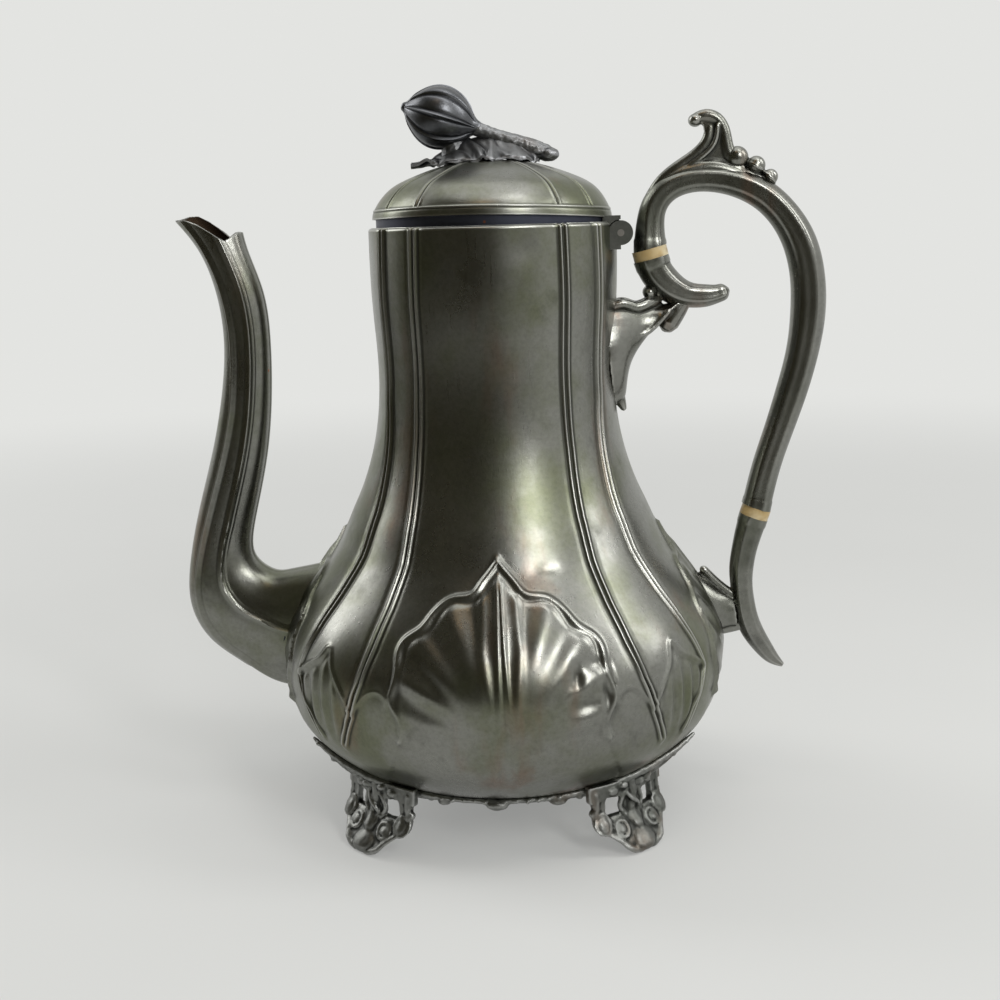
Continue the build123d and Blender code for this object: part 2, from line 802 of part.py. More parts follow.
# Hinge leaf on the lid: the centre knuckle and a plate up to the dome's edge
with BuildPart() as hinge_lid_leaf:
    with BuildSketch(Plane.XY.offset(hinge_z + hinge_slot / 2)):
        with Locations((hinge_x, 0)):
            Rectangle(leaf_back, 2 * (hinge_half_length - leaf_side_gap), align=(Align.MAX, Align.CENTER))
    extrude(amount=lid_height - hinge_z - hinge_slot / 2)
    for side in (-1, 1):
        ends = sorted((side * centre_knuckle_half, side * 2 * hinge_half_length))
        add(barrel(swept_radius, *ends), mode=Mode.SUBTRACT)
    add(barrel(knuckle_radius, -centre_knuckle_half, centre_knuckle_half))
    add(barrel(pin_radius + pin_running_fit, -hinge_half_length, hinge_half_length), mode=Mode.SUBTRACT)
hinge_lid_leaf.part.label = "hinge_lid_leaf"
export_step(hinge_lid_leaf.part, "parts/hinge_lid_leaf.step")

hinge_pin = barrel(pin_radius, -hinge_half_length, hinge_half_length)
hinge_pin.label = "hinge_pin"
export_step(hinge_pin, "parts/hinge_pin.step")

# Lid dome: a thin pressed dome with a hole for the finial's stud
dome_outside = lid_solid(0)
with BuildPart() as lid_dome:
    add(dome_outside)
    add(lid_solid(lid_wall), mode=Mode.SUBTRACT)
    with BuildSketch(Plane.XY.offset(lid_top - lid_rise / 2)):
        Circle(stud_radius + solder_gap)
    extrude(amount=lid_rise, mode=Mode.SUBTRACT)
lid_dome.part.label = "lid_dome"
export_step(lid_dome.part, "parts/lid_dome.step")

# Lid bezel: the flange that drops into the neck, cut away beside the hinge
bezel_radius = lid_radius - lid_wall
with BuildPart() as lid_bezel:
    with BuildSketch(Plane.XY.offset(lid_height - bezel_depth)):
        Circle(bezel_radius)
        Circle(bezel_radius - bezel_wall, mode=Mode.SUBTRACT)
        with Locations((bezel_radius, 0)):
            Rectangle(bezel_radius, 2 * bezel_gap_half_width, mode=Mode.SUBTRACT)
    extrude(amount=bezel_depth + bezel_overlap)
    add(lid_dome.part, mode=Mode.SUBTRACT)
lid_bezel.part.label = "lid_bezel"
export_step(lid_bezel.part, "parts/lid_bezel.step")

# Finial fruit: a plump pod that leans over the dome, with its nub away from the hinge
fruit_tip = Vector(-30.7, 0, lid_top + 18.9)
fruit_heading = Vector(26.0, 0, -8.2).normalized()
fruit_end = fruit_tip + fruit_heading * fruit_length
with BuildPart() as finial_fruit:
    with BuildSketch(Plane(origin=fruit_tip, x_dir=fruit_heading, z_dir=(0, -1, 0))):
        with BuildLine():
            Line((0, 0), (0, fruit_nub_radius))
            Spline(
                (0, fruit_nub_radius),
                (0.13 * fruit_length, 0.6 * fruit_radius),
                (0.5 * fruit_length, fruit_radius),
                (0.87 * fruit_length, 0.58 * fruit_radius),
                (fruit_length, fruit_end_radius),
            )
            Polyline((fruit_length, fruit_end_radius), (fruit_length, 0), (0, 0))
        make_face()
    revolve(axis=Axis(fruit_tip, fruit_heading))
finial_fruit.part.label = "finial_fruit"
export_step(finial_fruit.part, "parts/finial_fruit.step")

# Finial leaf: a leaf that lies on the dome, with a boss under the fruit and one for the stud
leaf_under = lid_solid(-finial_gap)
leaf_over = lid_solid(-finial_gap - finial_leaf_thickness)
leaf_middle = (finial_leaf_from + finial_leaf_to) / 2
with BuildPart() as finial_leaf:
    with BuildSketch(Plane.XY.offset(lid_height)):
        with BuildLine():
            ThreePointArc((finial_leaf_from, 0), (leaf_middle, finial_leaf_half_width), (finial_leaf_to, 0))
            ThreePointArc((finial_leaf_to, 0), (leaf_middle, -finial_leaf_half_width), (finial_leaf_from, 0))
        make_face()
    extrude(amount=2 * lid_rise)
    add(leaf_over, mode=Mode.INTERSECT)
    with BuildSketch(Plane.XY.offset(lid_height)):
        with Locations((fruit_boss_x, 0)):
            Circle(finial_boss_radius)
    extrude(amount=lid_rise + fruit_boss_height)
    with BuildSketch(Plane.XY.offset(lid_height)):
        Circle(finial_boss_radius)
    extrude(amount=lid_rise + stud_boss_height)
    add(leaf_under, mode=Mode.SUBTRACT)
    add(finial_fruit.part, mode=Mode.SUBTRACT)
    with BuildSketch(Plane.XY.offset(lid_height)):
        Circle(stud_radius)
    extrude(amount=lid_rise + stud_height, mode=Mode.SUBTRACT)
finial_leaf.part.label = "finial_leaf"
export_step(finial_leaf.part, "parts/finial_leaf.step")

# Finial stem: from the fruit's end down onto the leaf and out past its tip
stem_stations = [
    (fruit_end.X - 2.0, fruit_end.Z + 0.6, 2.2),
    (fruit_end.X + 4.5, fruit_end.Z - 1.9, 2.4),
    (fruit_end.X + 12.5, fruit_end.Z - 5.6, 2.8),
    (fruit_end.X + 20.5, fruit_end.Z - 8.2, 2.4),
    (fruit_end.X + 26.5, fruit_end.Z - 11.5, 2.0),
]
with BuildPart() as finial_stem:
    add(round_bar(stem_stations))
    add(finial_fruit.part, mode=Mode.SUBTRACT)
    add(finial_leaf.part, mode=Mode.SUBTRACT)
    add(leaf_under, mode=Mode.SUBTRACT)
finial_stem.part.label = "finial_stem"
export_step(finial_stem.part, "parts/finial_stem.step")

# Finial stud with its washer and nut under the dome
dome_inside_top = lid_top - lid_wall
washer_low = dome_inside_top - finial_gap - washer_thickness
nut_low = washer_low - nut_thickness
with BuildPart() as finial_stud:
    with BuildSketch(Plane.XY.offset(nut_low - stud_below_nut)):
        Circle(stud_radius)
    extrude(amount=lid_top + stud_height + stud_below_nut - nut_low)
finial_stud.part.label = "finial_stud"
export_step(finial_stud.part, "parts/finial_stud.step")

with BuildPart() as finial_washer:
    with BuildSketch(Plane.XY.offset(washer_low)):
        Circle(washer_radius)
        Circle(stud_radius + solder_gap, mode=Mode.SUBTRACT)
    extrude(amount=washer_thickness)
    add(lid_dome.part, mode=Mode.SUBTRACT)
finial_washer.part.label = "finial_washer"
export_step(finial_washer.part, "parts/finial_washer.step")

with BuildPart() as finial_nut:
    with BuildSketch(Plane.XY.offset(nut_low)):
        RegularPolygon(nut_radius, 6)
        Circle(stud_radius + solder_gap, mode=Mode.SUBTRACT)
    extrude(amount=nut_thickness)
finial_nut.part.label = "finial_nut"
export_step(finial_nut.part, "parts/finial_nut.step")
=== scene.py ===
from math import cos, pi, radians, sin

import bmesh
import bpy
import numpy as np
from mathutils import Matrix, Vector, noise


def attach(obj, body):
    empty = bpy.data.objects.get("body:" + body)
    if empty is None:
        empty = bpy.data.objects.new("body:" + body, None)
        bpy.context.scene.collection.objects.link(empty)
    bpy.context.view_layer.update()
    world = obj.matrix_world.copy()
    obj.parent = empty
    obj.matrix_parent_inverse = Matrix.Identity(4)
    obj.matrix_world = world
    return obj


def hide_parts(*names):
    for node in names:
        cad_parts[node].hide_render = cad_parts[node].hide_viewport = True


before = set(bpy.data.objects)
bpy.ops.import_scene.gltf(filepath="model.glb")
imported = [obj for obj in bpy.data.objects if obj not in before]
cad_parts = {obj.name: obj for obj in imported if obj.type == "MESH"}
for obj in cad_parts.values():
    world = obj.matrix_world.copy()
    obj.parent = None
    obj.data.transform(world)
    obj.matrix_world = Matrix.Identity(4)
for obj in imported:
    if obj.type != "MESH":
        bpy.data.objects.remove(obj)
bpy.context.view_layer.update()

mm = 0.001

# Camera: it stands half a metre in front of the pot, a little to the handle's side,
# at the height of the lid, and looks slightly down.
camera_turn = radians(2.5)
camera_pitch = radians(11.2)
camera_lean = radians(1.6)
camera_distance = 0.505
camera_height = 0.2146
camera = bpy.data.objects.new("camera", bpy.data.cameras.new("camera"))
camera.data.sensor_width = 36
camera.data.lens = 50.4
camera.data.clip_start = 0.02
camera.matrix_world = (
    Matrix.Translation(
        (camera_distance * sin(camera_turn), -camera_distance * cos(camera_turn), camera_height)
    )
    @ Matrix.Rotation(camera_turn, 4, "Z")
    @ Matrix.Rotation(pi / 2 - camera_pitch, 4, "X")
    @ Matrix.Rotation(-camera_lean, 4, "Z")
)
bpy.context.collection.objects.link(camera)
bpy.context.scene.camera = camera
bpy.context.scene.view_settings.view_transform = "Standard"


# Floor and room: a pale sheet under the pot, pale walls, and soft lamps.
# Dark cards in front of the pot give the polished metal its dark reflections.
class Shade:
    """An output of a shader node, so that sums of masks read as plain Python."""

    def __init__(self, tree, socket=None):
        self.tree = tree
        self.socket = socket

    def node(self, kind, inputs, output=0, **settings):
        """Adds a node: its settings first, then the values or links of its sockets."""
        made = self.tree.nodes.new(kind)
        for name, value in settings.items():
            setattr(made, name, value)
        for name, value in inputs.items():
            if isinstance(value, Shade):
                self.tree.links.new(value.socket, made.inputs[name])
            else:
                made.inputs[name].default_value = value
        return Shade(self.tree, made.outputs[output] if made.outputs else None)

    def sum(self, operation, first, second):
        return self.node("ShaderNodeMath", {0: first, 1: second}, operation=operation)

    def __add__(self, other):
        return self.sum("ADD", self, other)

    __radd__ = __add__

    def __sub__(self, other):
        return self.sum("SUBTRACT", self, other)

    def __rsub__(self, other):
        return self.sum("SUBTRACT", other, self)

    def __mul__(self, other):
        return self.sum("MULTIPLY", self, other)

    def most(self, other):
        return self.sum("MAXIMUM", self, other)

    def rise(self, low, high):
        """0 below low and 1 above high, with a soft slope between them."""
        span = {"Value": self, "From Min": low, "From Max": high}
        return self.node("ShaderNodeMapRange", span, interpolation_type="SMOOTHSTEP")

    def mix(self, first, second):
        """The first colour where this mask is 0 and the second where it is 1."""
        sockets = {0: self, 6: first, 7: second}
        return self.node("ShaderNodeMix", sockets, output=2, data_type="RGBA")

    def noise(self, scale, detail=3.0, roughness=0.5, stretch=None):
        """Clouds of the given number per metre, drawn out along an axis by stretch."""
        where = self
        if stretch:
            where = self.node("ShaderNodeMapping", {"Vector": self, "Scale": stretch})
        sockets = {"Vector": where, "Scale": scale, "Detail": detail, "Roughness": roughness}
        return self.node("ShaderNodeTexNoise", sockets)

    def fill(self, surface, kind="ShaderNodeOutputMaterial"):
        """Gives the material, or the world, its surface."""
        self.node(kind, {"Surface": surface})


def new_material(name):
    """A material with no nodes yet, and the places on the piece to start from."""
    material = bpy.data.materials.new(name)
    material.use_nodes = True
    material.node_tree.nodes.clear()
    start = Shade(material.node_tree)
    return material, start.node("ShaderNodeTexCoord", {}, output="Object")


def seen_rays(start):
    """1 where the camera or a reflection looks, and 0 where light is gathered."""
    kinds = ("Is Camera Ray", "Is Glossy Ray", "Is Transmission Ray")
    rays = [start.node("ShaderNodeLightPath", {}, output=kind) for kind in kinds]
    return rays[0].most(rays[1]).most(rays[2])


floor_tone = (0.77, 0.775, 0.755, 1)
floor_size = 5.0
floor_drop = 0.0002
floor_paper, place = new_material("floor_paper")
seen = seen_rays(place)
mottle = place.noise(3.0).rise(0.3, 0.7)
mottle = mottle.mix((0.68, 0.685, 0.67, 1), (0.65, 0.655, 0.64, 1))
paper = place.node("ShaderNodeBsdfDiffuse", {"Color": mottle})
away = place.node("ShaderNodeVectorMath", {0: place}, output="Value", operation="LENGTH")
away = away.rise(0.25, 1.3)
lifted = away.mix((0.66, 0.665, 0.65, 1), floor_tone)
lift = place.node("ShaderNodeEmission", {"Color": lifted, "Strength": 1.0})
lit = place.node("ShaderNodeMixShader", {0: seen * (0.4 + away * 0.6), 1: paper, 2: lift})
place.fill(lit)


def stage_sheet(name, corners, material):
    """A flat sheet that is part of the room, not of the pot."""
    mesh = bpy.data.meshes.new(name)
    mesh.from_pydata(corners, [], [tuple(range(4))])
    mesh.materials.append(material)
    sheet = bpy.data.objects.new(name, mesh)
    bpy.context.collection.objects.link(sheet)
    return sheet


corners = ((-1, -1), (1, -1), (1, 1), (-1, 1))
corners = [(x * floor_size, y * floor_size, -floor_drop) for x, y in corners]
stage_sheet("floor", corners, floor_paper)

world = bpy.data.worlds.new("room")
world.use_nodes = True
world.node_tree.nodes.clear()
start = Shade(world.node_tree)
seen = seen_rays(start)
glow = start.node("ShaderNodeBackground", {"Color": floor_tone, "Strength": 0.55 + seen * 0.45})
start.fill(glow, "ShaderNodeOutputWorld")
bpy.context.scene.world = world


def card(name, scale, low, high):
    """Dull card with wide soft patches from one colour to the other."""
    material, place = new_material(name)
    patches = place.noise(scale).rise(0.35, 0.65).mix(low, high)
    place.fill(place.node("ShaderNodeBsdfDiffuse", {"Color": patches}))
    return material


card_dark = card("card_dark", 1.6, (0.045, 0.038, 0.016, 1), (0.12, 0.11, 0.075, 1))
card_grey = card("card_grey", 1.2, (0.38, 0.38, 0.35, 1), (0.52, 0.52, 0.5, 1))


def in_room(radius, turn, rise):
    """A place around the pot, by its bearing from the front and its height in degrees."""
    turn, rise = radians(turn), radians(rise)
    return radius * cos(rise) * sin(turn), -radius * cos(rise) * cos(turn), radius * sin(rise)


room_radius = 1.6
dark_floor_radius = 0.6
cards_from, cards_to, cards_top, grey_from, card_step = -100, 40, 66, 10, 14
for turn in range(cards_from, cards_to, card_step):
    end = turn + card_step
    tone = card_dark if turn < grey_from else card_grey
    near, far = dark_floor_radius, room_radius
    patches = {"floor": [(near, turn, 0), (far, turn, 0), (far, end, 0), (near, end, 0)]}
    for rise in range(0, cards_top, card_step):
        top = rise + card_step
        patches[rise] = [(far, turn, rise), (far, end, rise), (far, end, top), (far, turn, top)]
    for rise, corners in patches.items():
        corners = [in_room(*corner) for corner in corners]
        sheet = stage_sheet(f"card_{turn - cards_from}_{rise}", corners, tone)
        sheet.visible_camera = False
        sheet.visible_shadow = False
        sheet.visible_diffuse = False


lamp_aim = 0.11


def lamp(name, turn, rise, distance, width, height, power, color=(1, 1, 1)):
    """A soft square lamp that looks at the pot, by its bearing and its height in degrees."""
    light = bpy.data.objects.new(name, bpy.data.lights.new(name, "AREA"))
    light.data.color = color
    light.data.shape = "RECTANGLE"
    light.data.size = width
    light.data.size_y = height
    light.data.energy = power
    turn, rise = radians(turn), radians(rise)
    light.matrix_world = (
        Matrix.Translation((0, 0, lamp_aim))
        @ Matrix.Rotation(turn, 4, "Z")
        @ Matrix.Rotation(pi / 2 - rise, 4, "X")
        @ Matrix.Translation((0, 0, distance))
    )
    bpy.context.collection.objects.link(light)


lamp("lamp_window", 30, 32, 1.25, 0.26, 0.5, 5.0)
lamp("lamp_over", 0, 88, 1.5, 1.6, 1.4, 6.0)
lamp("lamp_left", -110, 30, 1.4, 0.5, 0.9, 5.0)
lamp("lamp_warm", -10, 64, 1.3, 0.16, 0.16, 0.26, color=(1.0, 0.6, 0.26))
lamp("lamp_right", 82, 35, 1.4, 0.4, 0.8, 5.0)
lamp("lamp_high", 48, 66, 1.4, 0.3, 0.6, 2.0)


# Vessel: two stamped halves of pewter sheet, soldered under the spout and the handle.
# Each has double ribs down its neck and leaves worked into its belly.
def running_length(line):
    """The length of a drawn line up to each of its points."""
    return np.r_[0, np.cumsum(np.linalg.norm(np.diff(line, axis=0), axis=1))]


def spline(points, count, axes=2):
    """Even places along a smooth curve through the given points, in all their columns."""
    points = np.array(points, float)
    knots = running_length(points[:, :axes])
    steps = np.diff(knots)
    matrix = np.eye(len(points))
    right = np.zeros_like(points)
    for i in range(1, len(points) - 1):
        matrix[i, i - 1:i + 2] = steps[i - 1], 2 * (steps[i - 1] + steps[i]), steps[i]
        ahead, behind = points[i + 1] - points[i], points[i] - points[i - 1]
        right[i] = 6 * (ahead / steps[i] - behind / steps[i - 1])
    bend = np.linalg.solve(matrix, right)
    at = np.linspace(0, knots[-1], count)
    k = np.clip(np.searchsorted(knots, at, side="right") - 1, 0, len(points) - 2)
    before, after, step = (at - knots[k])[:, None], (knots[k + 1] - at)[:, None], steps[k][:, None]
    cubic = (bend[k] * after**3 + bend[k + 1] * before**3) / (6 * step)
    low = points[k] / step - bend[k] * step / 6
    high = points[k + 1] / step - bend[k + 1] * step / 6
    return cubic + low * after + high * before


def ease(value, low, high):
    """0 below low and 1 above high, with a soft slope between them."""
    x = np.clip((value - low) / (high - low), 0, 1)
    return x * x * (3 - 2 * x)


def ridge(distance, width):
    """A rounded bead's height across its line."""
    return np.exp(-((distance / width) ** 2))


def line_distance(across, up, line):
    """The distance from each place to a drawn line, positive on the line's left side."""
    best = np.full(np.shape(across), 1e9)
    side = np.ones(np.shape(across))
    for (s0, t0), (s1, t1) in zip(line, line[1:]):
        ds, dt = s1 - s0, t1 - t0
        along = np.clip(((across - s0) * ds + (up - t0) * dt) / (ds * ds + dt * dt), 0, 1)
        away = np.hypot(across - s0 - along * ds, up - t0 - along * dt)
        side = np.where(away < best, np.sign(ds * (up - t0) - dt * (across - s0)), side)
        best = np.minimum(best, away)
    return best * side


def pewter(name, metal, shadow, tarnish, rust, gloss, grain):
    """Old pewter with tarnish and specks of rust: its edges are lightened, partly as rubbed wear
    and partly as a painted highlight, and its grooves are darkened as painted shade.
    """
    material, place = new_material(name)
    relief = place.node("ShaderNodeAttribute", {}, output="Fac", attribute_name="relief")
    clouds = place.noise(26, detail=5, roughness=0.6)
    streaks = place.noise(18, detail=4, roughness=0.6, stretch=(2.6, 2.6, 0.55))
    patches = place.noise(60, detail=6, roughness=0.65)
    fine = place.noise(700, detail=4, roughness=0.7)
    color = clouds.rise(0.42, 0.68).mix(metal, tarnish)
    color = (streaks.rise(0.55, 0.75) * 0.55).mix(color, rust)
    color = (patches.rise(0.55, 0.8) * 0.5).mix(color, shadow)
    color = (fine.rise(0.35, 0.75) * 0.22).mix(color, shadow)
    # Painted shade: grooves and hollows are darkened towards the shadow colour.
    color = ((0 - relief).rise(0.03, 0.42) * 0.9).mix(color, shadow)
    # Lightened ridges: partly rubbed wear, partly a painted highlight.
    rubbed_and_highlit = (metal[0] * 1.9, metal[1] * 1.9, metal[2] * 1.95, 1)
    color = (relief.rise(0.08, 0.8) * 0.75).mix(color, rubbed_and_highlit)
    cells = {"Vector": place, "Scale": 85.0}
    spots = place.node("ShaderNodeTexVoronoi", cells, output="Distance")
    chance = place.node("ShaderNodeTexVoronoi", cells, output="Color")
    chosen = place.node("ShaderNodeSeparateColor", {"Color": chance}, output="Red").rise(0.9, 0.93)
    color = ((1 - spots.rise(0.04, 0.075)) * chosen).mix(color, (0.3, 0.09, 0.03, 1))
    # The inner skin is coloured dark brown and made rougher.
    inner_skin_mask = place.node("ShaderNodeAttribute", {}, output="Fac", attribute_name="inner_skin_mask")
    color = inner_skin_mask.mix(color, (0.03, 0.02, 0.013, 1))
    scratches = place.noise(130, detail=2, stretch=(9.0, 9.0, 0.4)).rise(0.62, 0.72)
    wear = gloss + clouds.rise(0.3, 0.75) * 0.1 + patches.rise(0.5, 0.8) * 0.08
    wear = wear + (0 - relief).rise(0.05, 0.6) * 0.2 - scratches * 0.03 + inner_skin_mask * 0.3
    pits = place.noise(grain, detail=5, roughness=0.7) + place.noise(160, detail=3) * 1.6
    bumps = {"Strength": 0.22, "Distance": 0.00012, "Height": pits + scratches * 0.25}
    bump = place.node("ShaderNodeBump", bumps)
    sockets = {"Base Color": color, "Metallic": 1.0, "Roughness": wear, "Normal": bump}
    place.fill(place.node("ShaderNodeBsdfPrincipled", sockets))
    return material


relief_radius = 0.0011


def note_relief(mesh):
    """Keeps on each point how sharply it stands out, 1 for a bend of the radius set above. The
    pewter makes its hollows rougher with dirt and darker as painted shade, and lightens its edges
    as wear and painted highlight.
    """
    count = len(mesh.vertices)
    points, normals = np.empty(count * 3), np.empty(count * 3)
    ends = np.empty(len(mesh.edges) * 2, int)
    mesh.vertices.foreach_get("co", points)
    mesh.vertices.foreach_get("normal", normals)
    mesh.edges.foreach_get("vertices", ends)
    points, normals = points.reshape(-1, 3), normals.reshape(-1, 3)
    first, last = ends.reshape(-1, 2).T
    degree = np.maximum(np.bincount(ends, minlength=count), 1)
    step = points[last] - points[first]
    bend = ((normals[last] - normals[first]) * step).sum(1) / np.maximum((step**2).sum(1), 1e-12)
    value = (np.bincount(first, bend, count) + np.bincount(last, bend, count)) / degree
    value = np.clip(value * relief_radius, -1, 1)
    for _ in range(3):
        around = np.bincount(first, value[last], count) + np.bincount(last, value[first], count)
        value = 0.5 * value + 0.5 * around / degree
    kept = mesh.attributes.new("relief", "FLOAT", "POINT")
    kept.data.foreach_set("value", value.astype(np.float32))


def piece(name, points, faces, material, body, slot, replaced, sharp=50, inner_skin_mask=None):
    """A finished piece from points in millimetres: closed, faced outwards and smooth-shaded.

    The last argument holds 1 for the points on the inner skin, which the pewter colours dark brown
    and makes rougher.
    """
    mesh = bpy.data.meshes.new(name)
    mesh.from_pydata((np.asarray(points, float) * mm).tolist(), [], faces)
    if inner_skin_mask is not None:
        kept = mesh.attributes.new("inner_skin_mask", "FLOAT", "POINT")
        kept.data.foreach_set("value", np.asarray(inner_skin_mask, np.float32))
    shape = bmesh.new()
    shape.from_mesh(mesh)
    bmesh.ops.remove_doubles(shape, verts=shape.verts, dist=2e-6)
    bmesh.ops.holes_fill(shape, edges=shape.edges)
    bmesh.ops.recalc_face_normals(shape, faces=shape.faces)
    for edge in shape.edges:
        edge.smooth = edge.calc_face_angle(0) < radians(sharp)
    for face in shape.faces:
        face.smooth = True
    shape.to_mesh(mesh)
    shape.free()
    note_relief(mesh)
    mesh.materials.append(material)
    made = bpy.data.objects.new(name, mesh)
    bpy.context.collection.objects.link(made)
    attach(made, body)
    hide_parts(*replaced)


def grid_faces(rows, columns, around=False, closed=False):
    """Faces of a net: around joins its last column to its first, and closed its last row."""
    faces = []
    for i in range(rows if closed else rows - 1):
        low, high = i * columns, (i + 1) % rows * columns
        for j in range(columns if around else columns - 1):
            k = (j + 1) % columns
            faces.append((low + j, low + k, high + k, high + j))
    return faces


def net_faces(net, around=False, closed=False):
    """The points of a net, row by row, and its faces."""
    return net.reshape(-1, 3), grid_faces(*net.shape[:2], around, closed)


vessel_pewter = pewter(
    "vessel_pewter", (0.236, 0.237, 0.216, 1), (0.046, 0.047, 0.038, 1), (0.15, 0.159, 0.106, 1),
    (0.2, 0.125, 0.085, 1), 0.26, 1400,
)
vessel_outline = spline(
    [
        (30, 17), (54, 20.4), (70.6, 31.5), (80.4, 45.5), (82.4, 57), (80.1, 71.5),
        (65.6, 95.5), (51, 120.5), (44.2, 144), (42.8, 166), (44, 188), (44.3, 213.7),
    ],
    900,
)
vessel_length = running_length(vessel_outline)
sheet_thickness = 1.4


def on_outline(height):
    """The vessel's radius, and the length of its outline up to there, at a height."""
    radii, heights = vessel_outline.T
    return np.interp(height, heights, radii), np.interp(height, heights, vessel_length)


rib_heights = [42, 54, 63, 67, 79, 91, 104, 117, 122, 138, 155, 189, 214]
rib_inner = [43.6, 39.3, 37.2, 36.2, 34.3, 33.0, 32.5, 33.2, 33.8, 35.6, 36.2, 35.7, 34.6]
rib_outer = [53.0, 58.0, 61.0, 60.0, 57.0, 54.6, 52.8, 53.0, 53.6, 56.2, 59.4, 58.6, 56.7]
rib_foot = on_outline(42.0)[1]
twist_heights = [32, 54, 80, 104, 122, 155]
twist = [2.4, 2.4, 1.7, 1.2, 0.3, -0.4]
# The edges of the leaves, by bearing from the middle of the panel and by height.
leaf_edge = [
    (0, 106.5), (3, 103), (5.5, 100), (8, 97), (13, 96), (17, 93.5), (19.5, 90), (21.5, 86.7),
    (25, 83.4), (26.5, 79), (26.2, 73), (27, 67), (27.3, 63.5), (25.4, 58), (24.6, 54.5),
    (25.4, 49),
]
small_leaf_edge = [
    (39.6, 57), (41.5, 61.5), (43.9, 66), (46.3, 71), (48, 75.8), (50.3, 72.2), (53.6, 69.2),
    (57.2, 66.3), (60.4, 63), (61.2, 60),
]
link_edge = [
    (28.2, 61.0), (28.7, 63.4), (30.5, 64.9), (32.8, 64.2), (34.8, 61.8), (36.6, 58.6),
    (38.4, 55.4),
]


def drawn(edge, count=0):
    """A line drawn on the vessel by its bearing and height, laid flat in millimetres."""
    edge = np.array(edge, float)
    radius, length = on_outline(edge[:, 1])
    flat = np.stack([radius * np.radians(edge[:, 0]), length], axis=1)
    return spline(flat, count) if count else flat


def leaf_relief(bearing, height, radius, length):
    """A wide leaf with fluted lobes and a double midrib, on one panel of the belly."""
    across = radius * np.radians(bearing)
    inside = -line_distance(across, length, drawn(leaf_edge, 90))
    low = on_outline(50.0)[1]
    turn = np.degrees(np.arctan2(length - low, np.maximum(across, 1e-6)))
    reach = np.hypot(across, length - low)
    share = reach / np.maximum(reach + inside, 1)
    phase = np.interp(turn, [0, 24, 50, 79, 90], [0, 1, 2.5, 4, 4.5])
    out = ease(inside, -0.9, 1.2) * ease(height, 47, 66) * 0.9
    fade = ease(height, 60, 70)
    out += ridge(inside - 0.1, 1.15 - 0.25 * fade) * ease(height, 47.5, 50) * (1.05 - 0.45 * fade)
    out -= ridge(inside - 2.5, 1.3) * ease(height, 58, 70) * 0.42
    flute = ease(share, 0.42, 0.8) * (1 - ease(share, 0.92, 1.0)) * ease(inside, 0.5, 3)
    out -= flute * np.cos(2 * pi * phase) * 0.42
    roll = np.interp(height, [50, 64, 80, 100], [3.4, 4.6, 6.2, 5.4])
    out += ridge(across - roll, 1.7) * ease(height, 50, 62) * (1 - ease(height, 93, 101)) * 0.55
    midrib = radius * np.radians(np.interp(height, [32, 45, 64, 100], [3.4, 1.8, 1.05, 0.5]))
    out += ridge(across - midrib, 0.8) * ease(height, 29, 33) * (1 - ease(height, 97, 102)) * 0.55
    drop_across, drop_length = drawn([(25.4, 48.8)])[0]
    out += ridge(across - drop_across, 1.6) * ridge(length - drop_length, 2.4) * 0.9
    return out


def envelope(height):
    """How far the plain sheet lies inside the outline: deepest under the belly's leaves."""
    return -0.5 - 1.35 * ease(height, 34, 52) * (1 - ease(height, 100, 116))


def vessel_relief(bearing, height, radius, length):
    """How far the worked metal stands off the vessel's envelope, in millimetres below zero."""
    bearing = bearing - np.interp(height, twist_heights, twist) * np.cos(np.radians(bearing)) ** 2
    turn = np.abs(bearing)
    across = radius * np.radians(turn)
    out = envelope(height) + 0 * turn
    inner = np.interp(height, rib_heights, rib_inner)
    outer = np.interp(height, rib_heights, rib_outer)
    for rib in (inner, outer):
        away = across - radius * np.radians(rib)
        line = ridge(np.abs(away) - 1.15, 0.62) * 0.6 - ridge(away, 0.6) * 0.25
        line -= ridge(np.abs(away) - 2.6, 0.9) * 0.22
        drop = ridge(away, 1.25) * ridge(length - rib_foot, 2.2) * 0.7
        out += line * ease(height, 40.5, 44) + drop
    narrow = ease(turn, inner + 1.5, inner + 4.5) * (1 - ease(turn, outer - 4.5, outer - 1.5))
    out -= narrow * 0.35 * ease(height, 100, 120)
    front = leaf_relief(turn, height, radius, length)
    side = leaf_relief((90 - turn) * 1.27, height, radius, length)
    out += np.where(turn < inner, front, np.where(turn > outer, side, 0))
    link = line_distance(across, length, drawn(link_edge, 40))
    between = ease(turn, 27.4, 28.4) * (1 - ease(turn, inner - 0.6, inner))
    step = ease(link, -0.5, 0.7) * (1 - ease(link, 2, 15)) * 0.75
    out += between * (ridge(link, 0.6) * 0.4 + step)
    below = -line_distance(across, length, drawn(small_leaf_edge, 60))
    span = ease(turn, inner, inner + 1) * (1 - ease(turn, outer - 1, outer))
    out += span * ridge(below, 0.95) * 0.85 * ease(height, 50, 56)
    out += span * ease(-below, -0.8, 0.8) * (1 - ease(-below, 1.0, 16)) * 0.6 * ease(height, 56, 62)
    flutes = ease(below, 0.6, 4) * ease(height, 38, 56) * span
    out += flutes * (np.cos(2 * pi * (turn - 48.6) / 4.3) * 0.36 + 0.25)
    return out


def dented(bearing, length, dents):
    """Knocks from use, each by its bearing, height, width, length and depth."""
    out = np.zeros(bearing.shape)
    for middle, height, wide, tall, depth in dents:
        radius, level = on_outline(height)
        away = np.hypot((bearing - middle) * radians(1) * radius / wide, (length - level) / tall)
        out -= depth * np.exp(-(away**2)) * (1 - 0.5 * away**2)
    return out


